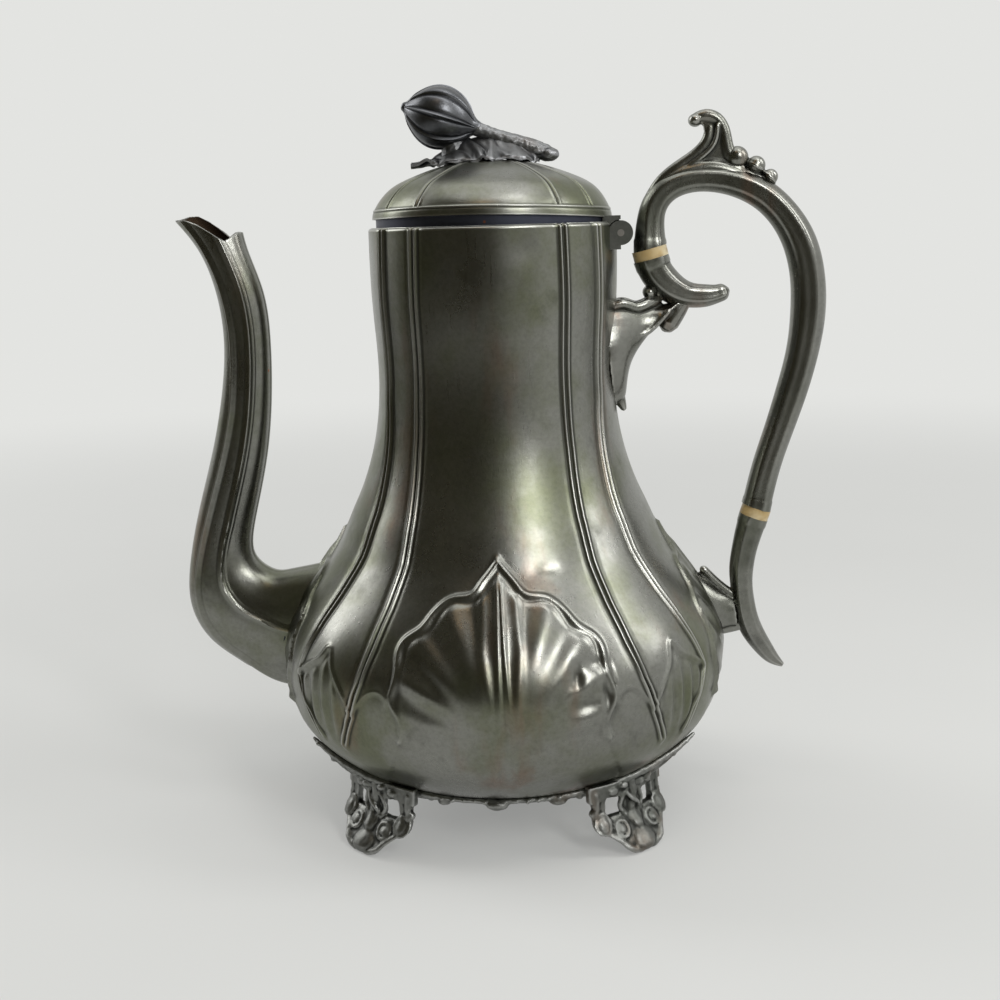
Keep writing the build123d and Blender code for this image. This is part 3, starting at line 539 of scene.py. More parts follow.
dents = {
    "front": [
        (15.5, 206.5, 6, 6.5, 0.4), (17, 103, 4.5, 3.5, 0.4), (20.5, 62.5, 7, 4.2, 1.1),
        (25.5, 74.5, 3.6, 2.6, 0.7), (19.5, 71, 2.2, 5.5, 0.8), (26.5, 64.5, 1.6, 4.5, 0.6),
        (-12, 60, 9, 7, 0.35),
    ],
    "back": [(-20, 88, 6, 5, 0.4), (32, 130, 5, 7, 0.25), (8, 52, 8, 5, 0.35)],
}


def spread(*spans):
    """Places from zero up through spans of (end, number of places)."""
    places = [0.0]
    for end, count in spans:
        places.extend(np.linspace(places[-1], end, count + 1)[1:])
    return np.array(places)


row_spans = ((30, 28), (36, 7), (106, 138), (124, 14), (212.5, 29))
rows = spread(*((on_outline(up)[1], count) for up, count in row_spans), (vessel_length[-1], 9))
columns = spread((1, 76), (2, 22), (3, 38), (4, 22), (5, 52))
columns = np.r_[-columns[:0:-1], columns]
radius, height = (
    np.interp(rows, vessel_length, vessel_outline[:, axis])[:, None] for axis in (0, 1)
)
run = np.gradient(vessel_outline[:, 0], vessel_length)
rise = np.gradient(vessel_outline[:, 1], vessel_length)
run, rise = (np.interp(rows, vessel_length, slope)[:, None] for slope in (run, rise))
rise, run = rise / np.hypot(run, rise), run / np.hypot(run, rise)
inner = np.interp(height, rib_heights, rib_inner)
outer = np.interp(height, rib_heights, rib_outer)
rib_half = np.degrees(2.6 / radius)
stops = [inner - rib_half, inner + rib_half, outer - rib_half, outer + rib_half]
stops = np.concatenate([0 * inner, *stops, 0 * inner + 90], axis=1)
spaced = [np.interp(np.abs(columns), range(6), stop) for stop in stops]
bearing = np.array(spaced) * np.sign(columns)
bearing = bearing + np.interp(height, twist_heights, twist) * np.cos(np.radians(bearing)) ** 2
rim_start = 212.7
halves = (("front", -1), ("back", 1))
for side, toward in halves:
    proud = vessel_relief(bearing, height, radius, rows[:, None])
    proud = proud + dented(bearing, rows[:, None], dents[side])
    proud -= 1.0 - np.sqrt(1.0 - np.clip(height - rim_start, 0, 1) ** 2 * 0.96)
    outside = np.stack([radius + proud * rise, height - proud * run], axis=2)
    deep = envelope(height) - sheet_thickness + 0 * bearing
    inside = np.stack([radius + deep * rise, height - deep * run], axis=2)
    keep = np.r_[0:len(rows) - 1:6, len(rows) - 1]
    lip = (outside[-1:] + inside[-1:]) / 2 + [0, 0.25]
    net = np.concatenate([outside, lip, inside[keep][::-1]])
    angle = np.radians(np.broadcast_to(bearing[-1:], (len(net), len(columns))))
    angle[: len(rows)] = np.radians(bearing)
    angle[len(rows) + 1:] = np.radians(bearing[keep][::-1])
    x, y = net[..., 0] * np.sin(angle), toward * net[..., 0] * np.cos(angle)
    points = np.stack([x, y, net[..., 1]], axis=2)
    inner_skin = np.repeat(np.arange(len(net)) > len(rows), len(columns))
    piece(
        f"vessel_{side}", *net_faces(points, closed=True),
        vessel_pewter, "pot", "pewter", [f"body_{side}_half"], inner_skin_mask=inner_skin,
    )


# Lid: a pressed dome whose double ribs carry on from the neck's, with a bead above its edge.
# The edge is a little bent, so the gap over the rim is widest at the front.
lid_line = spline(
    [
        (42.4, 216), (42, 218.6), (40.9, 221.2), (36.2, 227), (28.2, 231.2), (14, 235.5),
        (2.1, 236.6),
    ],
    400,
)
lid_length = running_length(lid_line)
level = np.r_[np.linspace(0, 7, 30), np.linspace(7, lid_length[-1], 52)[1:]]
radius, height = (np.interp(level, lid_length, lid_line[:, axis])[:, None] for axis in (0, 1))
run, rise = (
    np.interp(level, lid_length, np.gradient(lid_line[:, axis], lid_length))[:, None]
    for axis in (0, 1)
)
lid_columns, lid_ribs, lid_sheet = 720, (34.6, 56.7, 123.3, 145.4), 1.25
bearing = np.linspace(-180, 180, lid_columns, endpoint=False)[None, :]
angle = np.radians(bearing)
level = level[:, None]
proud = -0.35 + 0.22 * (1 - ease(level, 2.0, 2.7)) + 0.34 * ridge(level - 3.2, 0.5) + 0 * bearing
for rib in lid_ribs:
    away = radius * np.radians(np.abs(bearing) - rib)
    line = ridge(np.abs(away) - 0.9, 0.45) * 0.26 - ridge(away, 0.4) * 0.24
    proud += line * ease(radius, 6, 13) * ease(level, 3.2, 4.4)
bend = (0.05 - 0.65 * np.sin(angle) + 1.35 * np.cos(angle) ** 2) * (1 - ease(level, 0, 12))
outside = np.stack([radius + proud * rise, height - proud * run + bend], axis=2)
inside = np.stack(
    [radius - lid_sheet * rise + 0 * bearing, height + lid_sheet * run + bend], axis=2,
)
net = np.concatenate([outside, inside[::6][::-1]])
points = np.stack([net[..., 0] * np.sin(angle), -net[..., 0] * np.cos(angle), net[..., 1]], axis=2)
piece(
    "lid_cover", *net_faces(points, around=True, closed=True),
    vessel_pewter, "lid", "pewter", ["lid_dome"],
)

# Bezel: the lid's flange, a soldered ring seen in the gap under the lid, coloured near black as
# painted shade for that gap. It drops into the neck, and beside the hinge it is cut short to clear
# the rim when it swings.
bezel_columns = 240
angle = np.radians(np.linspace(-180, 180, bezel_columns, endpoint=False))
low = 208.2 + 5.8 * ease(np.cos(angle - pi / 2), 0.7, 0.76)
top = 218.6 + 0 * low
net = [(41.0, low), (41.0, top), (40.0, top), (40.0, low)]
points = np.array([[r * np.sin(angle), -r * np.cos(angle), z] for r, z in net]).transpose(0, 2, 1)
# Painted shade: the bezel's colours are near black and bluish, as the shaded gap under the lid
# looks.
bezel_painted_shade = pewter(
    "bezel_painted_shade", (0.05, 0.054, 0.07, 1), (0.01, 0.011, 0.015, 1), (0.028, 0.03, 0.04, 1),
    (0.06, 0.055, 0.06, 1), 0.42, 1300,
)
piece(
    "lid_flange", *net_faces(points, around=True, closed=True),
    bezel_painted_shade, "lid", "pewter", ["lid_bezel"],
)

# Spout: a swan's neck cast in two halves, with a bead down each edge of its flat side panel.
# It ends in a beak with a notch behind it, and its root flares onto the belly.
# A station holds the outer edge's distance from the axis and its height, the same for the
# inner edge, and half the width.
spout_stations = [
    (70, 44, 63, 93, 16), (86, 47, 73.5, 91, 15), (98.5, 54.8, 79, 90, 13.8),
    (110.5, 64.5, 84.5, 89.8, 12.6), (116.6, 77, 90, 93.3, 11.5), (116.2, 93, 92.4, 99, 10.5),
    (110.6, 116.5, 90, 112.8, 9.8), (104.8, 136, 85, 133.5, 9.2), (100, 157.5, 82, 157.1, 8.4),
    (98.2, 175.5, 81.4, 175.2, 7.8), (100.1, 193.6, 83.1, 193.2, 7.8),
    (105.3, 207.9, 87.6, 207.4, 7.8), (116.4, 222, 89.8, 220, 7.6),
]
# The lip is drawn in x and z, as seen from the side. The beads are placed by height, and
# across the side from -1 at its outer edge to 1 at its inner one.
spout_lips = {
    "front": [
        (-125.6, 219.3), (-113.4, 217.9), (-109, 218.2), (-104.4, 216.6), (-99.8, 214),
        (-96.6, 212), (-94, 210.6), (-92.4, 211.4), (-89.6, 213.6), (-77.6, 213.9),
    ],
    "back": [
        (-125.6, 219.6), (-113.4, 218.2), (-109.9, 219.5), (-106.7, 219.6), (-102.6, 217.6),
        (-98.6, 214.9), (-94.8, 212), (-92.4, 211.8), (-89.6, 213.6), (-77.6, 213.9),
    ],
}
outer_bead = ([47, 60, 80, 110, 150, 175, 205], [-0.9, -0.85, -0.7, -0.58, -0.48, -0.6, -0.74])
inner_bead = ([47, 60, 80, 93, 110, 150, 200], [0.05, 0.08, 0.12, 0.18, 0.25, 0.28, 0.22])
spout_wall, spout_rows = 1.5, 300
path = spline(spout_stations, 1200)
turn = np.linspace(0, pi, 121)
across = path[:, 2:4] - path[:, 0:2]
middle = (path[:, 2:4] + path[:, 0:2]) / 2
deep = np.linalg.norm(across, axis=1) / 2
outer_x = -(middle[:, :1] - across[:, :1] / 2 * np.cos(turn))
outer_z = middle[:, 1:] - across[:, 1:] / 2 * np.cos(turn)


def on_path(row, values):
    """Values of the spout's path at places between its rows."""
    return np.interp(row, np.arange(len(path)), values)


for side, toward in halves:
    over = outer_z > np.interp(outer_x, *np.array(spout_lips[side]).T)
    over[: len(path) // 2] = False
    row = np.linspace(0, 1, spout_rows)[:, None] ** 0.9 * over.argmax(axis=0)
    row = np.clip(row, 0, len(path) - 1)
    middle_x, middle_z = on_path(row, middle[:, 0]), on_path(row, middle[:, 1])
    across_x, across_z = on_path(row, across[:, 0]), on_path(row, across[:, 1])
    half_deep, half_wide = on_path(row, deep), on_path(row, path[:, 4])
    level = on_path(row, path[:, 1])
    place_u = -np.cos(turn) * np.ones_like(row)
    from_outer = (place_u - np.interp(level, *outer_bead)) * half_deep
    from_inner = (place_u - np.interp(level, *inner_bead)) * half_deep
    proud = -0.35 + ridge(from_outer, 0.5) * 0.55 + ridge(from_inner, 0.5) * 0.55
    proud = proud + ridge(from_inner - 1.7, 0.4) * 0.22
    proud -= ease(from_outer, 0.4, 2.2) * ease(-from_inner, 0.4, 2.2) * 0.75
    proud -= ease(from_inner, 0.4, 1.8) * (1 - ease(place_u, 0.55, 0.95)) * 0.45
    proud += ease(-from_outer, 0.2, 0.8) * ease(level, 52, 54) * 0.35
    proud *= ease(turn, 0, 0.12) * ease(pi - turn, 0, 0.12)
    skins = []
    for inset in (proud, -spout_wall - 0.35 + 0 * proud):
        u = half_deep + inset
        v = half_wide + inset
        x = middle_x + across_x / (2 * half_deep) * -np.cos(turn) * u
        z = middle_z + across_z / (2 * half_deep) * -np.cos(turn) * u
        skins.append(np.stack([-x, toward * v * np.sin(turn) ** 0.86, z], axis=2))
    outer_skin, inner_skin = skins[0], skins[1][np.r_[0:spout_rows - 1:6, spout_rows - 1]]
    lip = (outer_skin[-1:] + inner_skin[-1:]) / 2 + [0, 0, 0.2]
    net = np.concatenate([outer_skin, lip, inner_skin[::-1]])
    inner = np.arange(len(net)) > len(outer_skin)
    piece(
        f"spout_{side}", *net_faces(net, closed=True),
        vessel_pewter, "pot", "pewter", [f"spout_{side}_half"], inner_skin_mask=np.repeat(inner, len(turn)),
    )

# Handle: an arched bar between two bone washers, with a curled upper socket and a pointed
# lower one. Long soft ridges run along its sides, and a lip stands at each washer.
handle_pewter = pewter(
    "handle_pewter", (0.235, 0.235, 0.215, 1), (0.045, 0.046, 0.04, 1), (0.14, 0.145, 0.12, 1),
    (0.23, 0.11, 0.06, 1), 0.21, 1500,
)
grip_stations = [
    (93.2, 108.5, 5.2), (97.2, 125.6, 5.15), (100.7, 136.5, 5.2), (106, 153, 5.6),
    (109.6, 167.1, 5.8), (111.3, 181, 6.2), (110.8, 194, 6.1), (107.6, 206, 5.9),
    (102.2, 214.9, 5.5), (95.6, 221.3, 5.3), (87.2, 225.6, 5), (78, 227.6, 4.6), (68.5, 227.3, 4.5),
    (60.9, 223.9, 4.5), (57.1, 218.9, 4.6), (55.7, 212.2, 5), (55.65, 202.45, 6.1),
]
upper_socket_stations = [
    (55.65, 202.45, 6.1), (57.4, 196.6, 6), (60.6, 192.4, 5.8), (65.2, 189, 5.2),
    (70.5, 187.4, 4.4), (76, 187.3, 3.9), (80, 188, 3.2), (82.6, 188.9, 2), (83.4, 189.2, 0.7),
]
lower_socket_stations = [
    (93.2, 108.5, 5.2), (91.2, 102, 5), (89.4, 94.8, 4.6), (88.3, 87, 4.4), (88.4, 80.8, 4.1),
    (89, 75, 4.2), (90.4, 68.5, 4.2), (92.8, 62.8, 4), (96.4, 57.2, 3.4), (100.2, 52.6, 2.4),
    (103.8, 49.9, 0.9),
]
washer_half, joint_trim, bar_columns = 1.82, 4.2, 72
joints = {"lower": ((93.2, 108.5), (-0.331, -0.943)), "upper": ((55.65, 202.45), (0.25, -0.97))}


def bar(stations, rows, shape, cuts):
    """Points round a bar in the middle plane, by stations of x, z and radius, and its faces.

    shape gives each point's share of the radius from the millimetres along the bar and the
    angle from its outer side. cuts holds a joint for the start and one for the end, or None.
    """
    line = spline(stations, rows)
    length = running_length(line[:, :2])
    head = np.gradient(line[:, :2], length, axis=0)
    head /= np.linalg.norm(head, axis=1)[:, None]
    turn = np.linspace(0, 2 * pi, bar_columns, endpoint=False)
    size = line[:, 2:3] * shape(length[:, None], turn)
    x = line[:, :1] + size * np.cos(turn) * head[:, 1:]
    z = line[:, 1:2] - size * np.cos(turn) * head[:, :1]
    y = size * np.sin(turn)
    for row, outward, joint in zip((0, -1), (-1, 1), cuts):
        if joint:
            (joint_x, joint_z), (normal_x, normal_z) = joints[joint]
            slope = head[row, 0] * normal_x + head[row, 1] * normal_z
            away = (x[row] - joint_x) * normal_x + (z[row] - joint_z) * normal_z
            away = away + outward * np.sign(slope) * washer_half
            x[row] -= away * head[row, 0] / slope
            z[row] -= away * head[row, 1] / slope
    return net_faces(np.stack([x, y, z], axis=2), around=True)


def trimmed(stations, rows, start, end):
    """Even places along a bar, without start and end millimetres at its ends."""
    line = spline(stations, 800)
    length = running_length(line[:, :2])
    at = np.linspace(start, length[-1] - end, rows)
    line = np.stack([np.interp(at, length, line[:, axis]) for axis in range(3)], axis=1)
    return line, at[-1] - at[0]


def handle_shape(total, lips):
    """The handle's section: two soft ridges on each side, and a lip where a washer sits."""

    def shape(length, turn):
        side = np.degrees(np.minimum(turn, 2 * pi - turn))
        size = 1 + 0.055 * ridge(side - 66, 11) + 0.04 * ridge(side - 122, 12)
        size = size - 0.045 * ridge(side - 94, 15) - 0.02 * ridge(side - 30, 18) + 0 * length
        for place in lips:
            size = size + 0.055 * ridge(length - place * total, 0.8)
        return size

    return shape


for name, stations, rows, ends, cuts, node in (
    ("handle_bar", grip_stations, 420, (joint_trim, joint_trim), ("lower", "upper"), "handle_grip"),
    (
        "handle_curl", upper_socket_stations, 120, (joint_trim, 0), ("upper", None),
        "handle_socket_upper",
    ),
    (
        "handle_tail", lower_socket_stations, 180, (joint_trim, 0), ("lower", None),
        "handle_socket_lower",
    ),
):
    line, total = trimmed(stations, rows, *ends)
    lips = [place for place, cut in zip((0, 1), cuts) if cut]
    points, faces = bar(line, rows, handle_shape(total, lips), cuts)
    piece(name, points, faces, handle_pewter, "pot", "pewter", [node], sharp=65)

# Brackets and thumb scroll: small castings soldered to the neck, the belly and the bar.
# Each is one lump with rounded creases, so its bars, balls and webs are fused together.
ball_rows, ball_columns = 13, 20
ring_rows, ring_columns = 24, 10


def ball(x, y, z, *radii):
    """A ball, or an egg with a radius for each axis."""
    radii = np.array(radii * 3 if len(radii) == 1 else radii)
    rise = np.linspace(-pi / 2, pi / 2, ball_rows)[:, None]
    turn = np.linspace(0, 2 * pi, ball_columns, endpoint=False)
    level = np.sin(rise) + 0 * turn
    points = np.stack([np.cos(rise) * np.cos(turn), np.cos(rise) * np.sin(turn), level], axis=2)
    return net_faces(points * radii + [x, y, z], around=True)


def tube(stations, rows=24, around=14):
    """A bar with round ends along stations of (x, y, z, radius)."""
    line = spline(stations, rows, axes=3)
    head = np.gradient(line[:, :3], axis=0)
    head /= np.linalg.norm(head, axis=1)[:, None]
    across = np.cross(head, [0.31, 0.87, 0.38])
    across /= np.linalg.norm(across, axis=1)[:, None]
    other = np.cross(head, across)
    line = np.concatenate([line[:1], line[:1], line, line[-1:], line[-1:]])
    across, other, head = (
        np.concatenate([v[:1], v[:1], v, v[-1:], v[-1:]]) for v in (across, other, head)
    )
    size = line[:, 3].copy()
    ends = {0: (-0.98, 0.15), 1: (-0.7, 0.7), -1: (0.98, 0.15), -2: (0.7, 0.7)}
    for row, (shift, share) in ends.items():
        line[row, :3] += head[row] * size[row] * shift
        size[row] *= share
    turn = np.linspace(0, 2 * pi, around, endpoint=False)[:, None]
    ring = np.cos(turn) * across[:, None] + np.sin(turn) * other[:, None]
    return net_faces(line[:, None, :3] + ring * size[:, None, None], around=True)


def pair(stations):
    """Two bars that mirror each other across the pot's middle plane."""
    return [tube([(x, side * y, z, size) for x, y, z, size in stations]) for side in (-1, 1)]


def slab(outline, low, high):
    """A plate with the given outline in x and z, between two places on y."""
    count = len(outline)
    points = np.array([(x, y, z) for y in (low, high) for x, z in outline], float)
    ends = [tuple(range(count)), tuple(range(2 * count - 1, count - 1, -1))]
    return points, ends + grid_faces(2, count, around=True)


def ring(x, y, z, radius, size, facing):
    """A ring of the given radius and wire size, whose axis points along facing."""
    facing = np.array(facing, float) / np.linalg.norm(facing)
    side = np.cross(facing, [0.1, 0.2, 0.97])
    side /= np.linalg.norm(side)
    other = np.cross(facing, side)
    turn = np.linspace(0, 2 * pi, ring_rows, endpoint=False)[:, None, None]
    angle = np.linspace(0, 2 * pi, ring_columns, endpoint=False)[:, None]
    out = np.cos(turn) * side + np.sin(turn) * other
    points = np.array([x, y, z]) + out * (radius + size * np.cos(angle))
    return net_faces(points + facing * size * np.sin(angle), around=True, closed=True)


def cast(name, shapes, voxel, material, body, slot, replaced, place=None, soften=3, rough=0.0):
    """A casting: the shapes fused into one skin, softened and made uneven by rough.

    place moves the finished points onto the pot.
    """
    points, faces = [], []
    for shape_points, shape_faces in shapes:
        start = sum(len(p) for p in points)
        points.append(shape_points)
        faces += [tuple(start + i for i in face) for face in shape_faces]
    mesh = bpy.data.meshes.new(name)
    mesh.from_pydata(np.concatenate(points).tolist(), [], faces)
    shape = bmesh.new()
    shape.from_mesh(mesh)
    bmesh.ops.holes_fill(shape, edges=shape.edges)
    bmesh.ops.recalc_face_normals(shape, faces=shape.faces)
    shape.to_mesh(mesh)
    shape.free()
    lump = bpy.data.objects.new(f"{name}_lump", mesh)
    bpy.context.collection.objects.link(lump)
    remesh = lump.modifiers.new("fuse", "REMESH")
    remesh.mode = "VOXEL"
    remesh.voxel_size = voxel
    smooth = lump.modifiers.new("soften", "SMOOTH")
    smooth.factor = 0.5
    smooth.iterations = soften
    fitted = lump.evaluated_get(bpy.context.evaluated_depsgraph_get())
    fused = bpy.data.meshes.new_from_object(fitted)
    points = np.empty(len(fused.vertices) * 3)
    fused.vertices.foreach_get("co", points)
    points = points.reshape(-1, 3)
    if rough:
        normals = np.empty(len(fused.vertices) * 3)
        fused.vertices.foreach_get("normal", normals)
        spots = [Vector(point) for point in points]
        lumps = [noise.noise(spot * 0.55) + 0.6 * noise.noise(spot * 1.3) for spot in spots]
        points = points + normals.reshape(-1, 3) * rough * np.array(lumps)[:, None]
    faces = [tuple(face.vertices) for face in fused.polygons]
    bpy.data.objects.remove(lump)
    bpy.data.meshes.remove(mesh)
    bpy.data.meshes.remove(fused)
    piece(name, place(points) if place else points, faces, material, body, slot, replaced, sharp=75)


cast_pewter = pewter(
    "cast_pewter", (0.205, 0.207, 0.195, 1), (0.035, 0.036, 0.033, 1), (0.12, 0.124, 0.112, 1),
    (0.2, 0.12, 0.07, 1), 0.38, 1300,
)


def widening(sections, rows=60, around=48):
    """A horn through sections of (x, z, tilt, half height, half width).

    A crest runs along its top and its foot.
    """
    line = spline(sections, rows)
    turn = np.linspace(0, 2 * pi, around, endpoint=False)
    tilt = np.radians(line[:, 2:3])
    up = np.sin(turn) * line[:, 3:4]
    side = np.sign(np.cos(turn)) * np.abs(np.cos(turn)) ** 1.25 * line[:, 4:5]
    points = np.stack(
        [line[:, :1] - up * np.sin(tilt), side + 0 * up, line[:, 1:2] + up * np.cos(tilt)], axis=2,
    )
    return net_faces(points, around=True)


cast(
    "bracket_neck",
    [
        widening([
            (40, 168, 6, 19.5, 13.5), (45, 169.5, 4, 17.6, 11.5), (50, 172.8, -12, 12.6, 7.8),
            (56, 177, -32, 9.2, 5.4), (62.5, 182.5, -44, 6.6, 4.4),
        ]),
        tube([(40, 0, 160, 3), (43.6, 0, 152.5, 2.6), (45.6, 0, 147.8, 1.3)]),
        tube([(62, 0, 178, 3.8), (65, 0, 182.5, 3.6), (67.2, 0, 185.6, 3)]),
        *pair([
            (42, 8.5, 177.2, 1), (46.5, 7.6, 175.4, 1.2), (51.8, 6, 174.4, 1.2),
            (57.2, 4.6, 177.6, 1.1), (61.8, 3.8, 182.4, 1),
        ]),
        *pair([
            (41.5, 6.5, 184.4, 1.5), (46, 5.6, 185.4, 1.8), (50.4, 4.4, 184, 1.9),
            (54, 3.2, 185, 2), (57.5, 0, 186, 2.4),
        ]),
        ball(55.2, 0, 189, 2.5, 4.2, 2.5),
        tube([(55.6, 0, 187, 1.6), (58.6, 0, 187.4, 1.6), (60.4, 0, 190, 1.8)]),
    ],
    0.42, handle_pewter, "pot", "pewter", ["handle_bracket_upper"],
)
cast(
    "bracket_belly",
    [
        widening([
            (72.5, 76, 22, 13.5, 8), (77.5, 74.6, 18, 11, 6.6), (82, 72.5, 12, 8, 4.6),
            (86.2, 71, 8, 6.2, 3.8),
        ]),
        tube([(74.5, 0, 87, 1.6), (79, 0, 82.2, 1.8), (84.5, 0, 77.8, 1.8), (87.5, 0, 76, 1.8)]),
        tube([(79.5, 0, 64, 2.2), (84.5, 0, 65, 2.2), (88.5, 0, 66, 2.2)]),
    ],
    0.42, handle_pewter, "pot", "pewter", ["handle_bracket_lower"],
)
cast(
    "thumb_piece",
    [
        tube([
            (55.5, 0, 221.5, 2), (59.6, 0, 227.2, 2.2), (66.4, 0, 232.6, 2.2),
            (72.4, 0, 236.8, 2.1), (75.8, 0, 241.2, 2), (76.4, 0, 245.4, 1.7),
        ]),
        slab(
            [
                (58, 226), (66.2, 233.6), (72.1, 237.5), (74.9, 241.5), (74.3, 245.6), (72, 247.6),
                (80, 248), (82, 239), (85.5, 231), (72, 228),
            ],
            -1.5, 1.5,
        ),
        tube([
            (88.5, 0, 228.6, 2.6), (84.8, 0, 233, 2.6), (82.4, 0, 238.6, 2.4),
            (81.4, 0, 243.6, 2.3), (78.6, 0, 248, 2.3), (74.4, 0, 249, 2.3), (71.6, 0, 248, 2.1),
        ]),
        ball(71.4, 0, 247.6, 2.5, 3, 2.3),
        *pair([
            (66, 1.7, 230.4, 0.9), (73, 1.9, 234.8, 0.9), (78, 2, 240, 0.9), (79, 1.9, 245.6, 0.8),
        ]),
        tube([
            (57, 0, 221.5, 3.4), (64, 0, 228, 3.4), (72, 0, 230.6, 3.6), (80, 0, 230.6, 3.6),
            (87.5, 0, 227.8, 3.4),
        ]),
    ],
    0.36, handle_pewter, "pot", "pewter", ["thumb_scroll"],
)
cast(
    "thumb_beads",
    [
        ball(86, 0, 234.6, 4), ball(92.6, 0, 231.8, 3.3), ball(97.6, 0, 227.8, 2.7),
        ring(92.4, 0, 231.4, 3, 0.6, (0.5, 0, 0.85)), ring(97.2, 0, 227.6, 2.5, 0.6, (0.7, 0, 0.7)),
        tube([(86, 0, 229.6, 2.6), (92, 0, 227.4, 2.4), (98, 0, 223.8, 2)]),
    ],
    0.32, handle_pewter, "pot", "pewter", ["thumb_berries"],
)

# Finial: a ribbed pod on a stem over a curled leaf, dark with age. A nut under the dome
# holds it, so only a little light passes between the pod and the leaf.
dark_pewter = pewter(
    "dark_pewter", (0.12, 0.123, 0.13, 1), (0.022, 0.023, 0.026, 1), (0.075, 0.078, 0.083, 1),
    (0.12, 0.09, 0.07, 1), 0.3, 1500,
)
leaf_pewter = pewter(
    "leaf_pewter", (0.2, 0.203, 0.205, 1), (0.03, 0.031, 0.034, 1), (0.115, 0.118, 0.12, 1),
    (0.15, 0.11, 0.085, 1), 0.42, 1100,
)
pod_tip, pod_end = np.array([-30.7, 255.5]), np.array([-4.66, 247.3])
pod = spline(
    [
        (0, 0.3), (0.3, 1.2), (1.2, 1.8), (2.6, 3.6), (4.8, 6.3), (8.8, 9.4), (13.8, 10.7),
        (19.5, 9.3), (23.6, 6.2), (26.6, 3.0), (28.4, 2.3),
    ],
    150,
)
pod_columns, lobe_angle = 240, 45
turn = np.linspace(0, 2 * pi, pod_columns, endpoint=False)
lobe = np.abs((np.degrees(turn) / lobe_angle + 0.5) % 1 - 0.5) * lobe_angle
groove = ease(pod[:, :1], 0.8, 4.0) * (1 - ease(pod[:, :1], 23.5, 27.5))
size = pod[:, 1:] + groove * (ridge(lobe, 2.2) * 0.55 - ridge(lobe - 6.0, 3.5) * 0.28 - 0.15)
head = (pod_end - pod_tip) / np.linalg.norm(pod_end - pod_tip)
x = pod_tip[0] + pod[:, :1] * head[0] - size * np.sin(turn) * head[1]
z = pod_tip[1] + pod[:, :1] * head[1] + size * np.sin(turn) * head[0]
y = size * np.cos(turn)
points = np.stack([x, y, z], axis=2)
piece(
    "finial_pod", *net_faces(points, around=True),
    dark_pewter, "lid", "dark_pewter", ["finial_fruit"], sharp=80,
)


def dome_top(x, y):
    """The lid's height over a place near its middle."""
    return np.interp(np.hypot(x, y), lid_line[::-1, 0], lid_line[::-1, 1])


leaf_columns, leaf_thickness = 110, 1.1
u, v = np.meshgrid(np.linspace(0, 1, 150), np.linspace(-1, 1, leaf_columns), indexing="ij")
leaf_x = -28.0 + 46.0 * u
half = np.interp(
    u, [0, 0.05, 0.16, 0.24, 0.36, 0.6, 0.82, 0.94, 1],
    [1.5, 3.6, 4.2, 7.0, 11.5, 13.0, 10.5, 6.5, 1.5],
)
half = half * (1 + 0.09 * np.cos(2 * pi * u * 6.2) + 0.05 * np.cos(2 * pi * (u * 13.3 + v)))
leaf_y = half * v
leaf_x = leaf_x + 1.6 * np.abs(v) * np.sin(2 * pi * u * 2.6)
lift = np.interp(leaf_x, [-28, -22, -17], [3.6, 2.0, 0.0])
crown = np.interp(
    leaf_x, [-28, -22, -17, -9, -5, 1, 9, 17], [0.4, 0.9, 4.4, 7.6, 7.4, 8.2, 6.8, 4.2],
)
crown = lift + crown * (1 - np.abs(v) ** 1.15)
leaf_z = dome_top(leaf_x, leaf_y) - 0.1 + crown + 1.25 * ease(np.abs(v), 0.35, 1.0)
wave = 0.55 * np.sin(2 * pi * (u * 4.2 + 0.15 * v)) + 0.35 * np.sin(2 * pi * (u * 9.1 + v * 0.6))
leaf_z = leaf_z + np.abs(v) ** 1.5 * wave
vein = ridge((np.abs(v) * 1.15 - (u * 6.5) % 1) / 0.14, 1.0)
leaf_z = leaf_z - vein * 0.35 + ridge(v, 0.07) * 0.5
over = np.stack([leaf_x, leaf_y, leaf_z], axis=2)
under = over - [0, 0, leaf_thickness]
net = np.concatenate([over, under[::-1]])
piece(
    "finial_leaf_blade", *net_faces(net, closed=True),
    leaf_pewter, "lid", "dark_pewter", ["finial_leaf"], sharp=60,
)
cast(
    "finial_stalk",
    [
        tube([
            (-6.5, 0, 247.6, 2.6), (0.2, 0, 245, 2.6), (7.8, 0, 242, 3.1), (15, 0, 239.8, 3.2),
            (20, 0, 237.9, 2.9),
        ]),
        ball(20.6, 0, 237.6, 3.6, 4.2, 2.4),
        tube([(-14, 0, 246, 4.4), (-13, 0.4, 241, 4.2), (-12.5, 0, 237.6, 5.2)]),
        tube([(1, 0, 243.5, 2.2), (0.5, 0, 240, 3.2), (0, 0, 237, 3.6)]),
        ball(17, 0, 238.6, 5.6, 3.6, 1.5),
        tube([(3, 0.6, 243.8, 0.9), (10, 1.6, 242.4, 1), (18, 1.8, 240.2, 0.9)]),
        tube([(3, -1.2, 243.6, 0.9), (10, -2, 241.4, 1), (18, -1.6, 239.2, 0.9)]),
    ],
    0.34, leaf_pewter, "lid", "dark_pewter", ["finial_stem"], rough=0.16,
)

# Feet: four openwork castings under a garland that wraps the belly. Each has a middle
# column and two side ones with knobs, a pierced plate, and a toe that kicks out.
# A foot's flat drawing is laid on this profile of heights and radii, and round this circle.
foot_profile = ([0, 3.0, 6.6, 10.0, 13.2, 26.5], [69.6, 69.0, 66.6, 64.2, 62.4, 61.6])
foot_circle = 62.0


def foot_ring(u, z, radius, size):
    """A ring that lies on the outer face of a foot."""
    return ring(u, 1.4, z, radius, size, (0, 1, 0))


def sided(side, stations):
    """Places drawn on a foot's right side, or their mirror on its left."""
    return [(side * u, *rest) for u, *rest in stations]


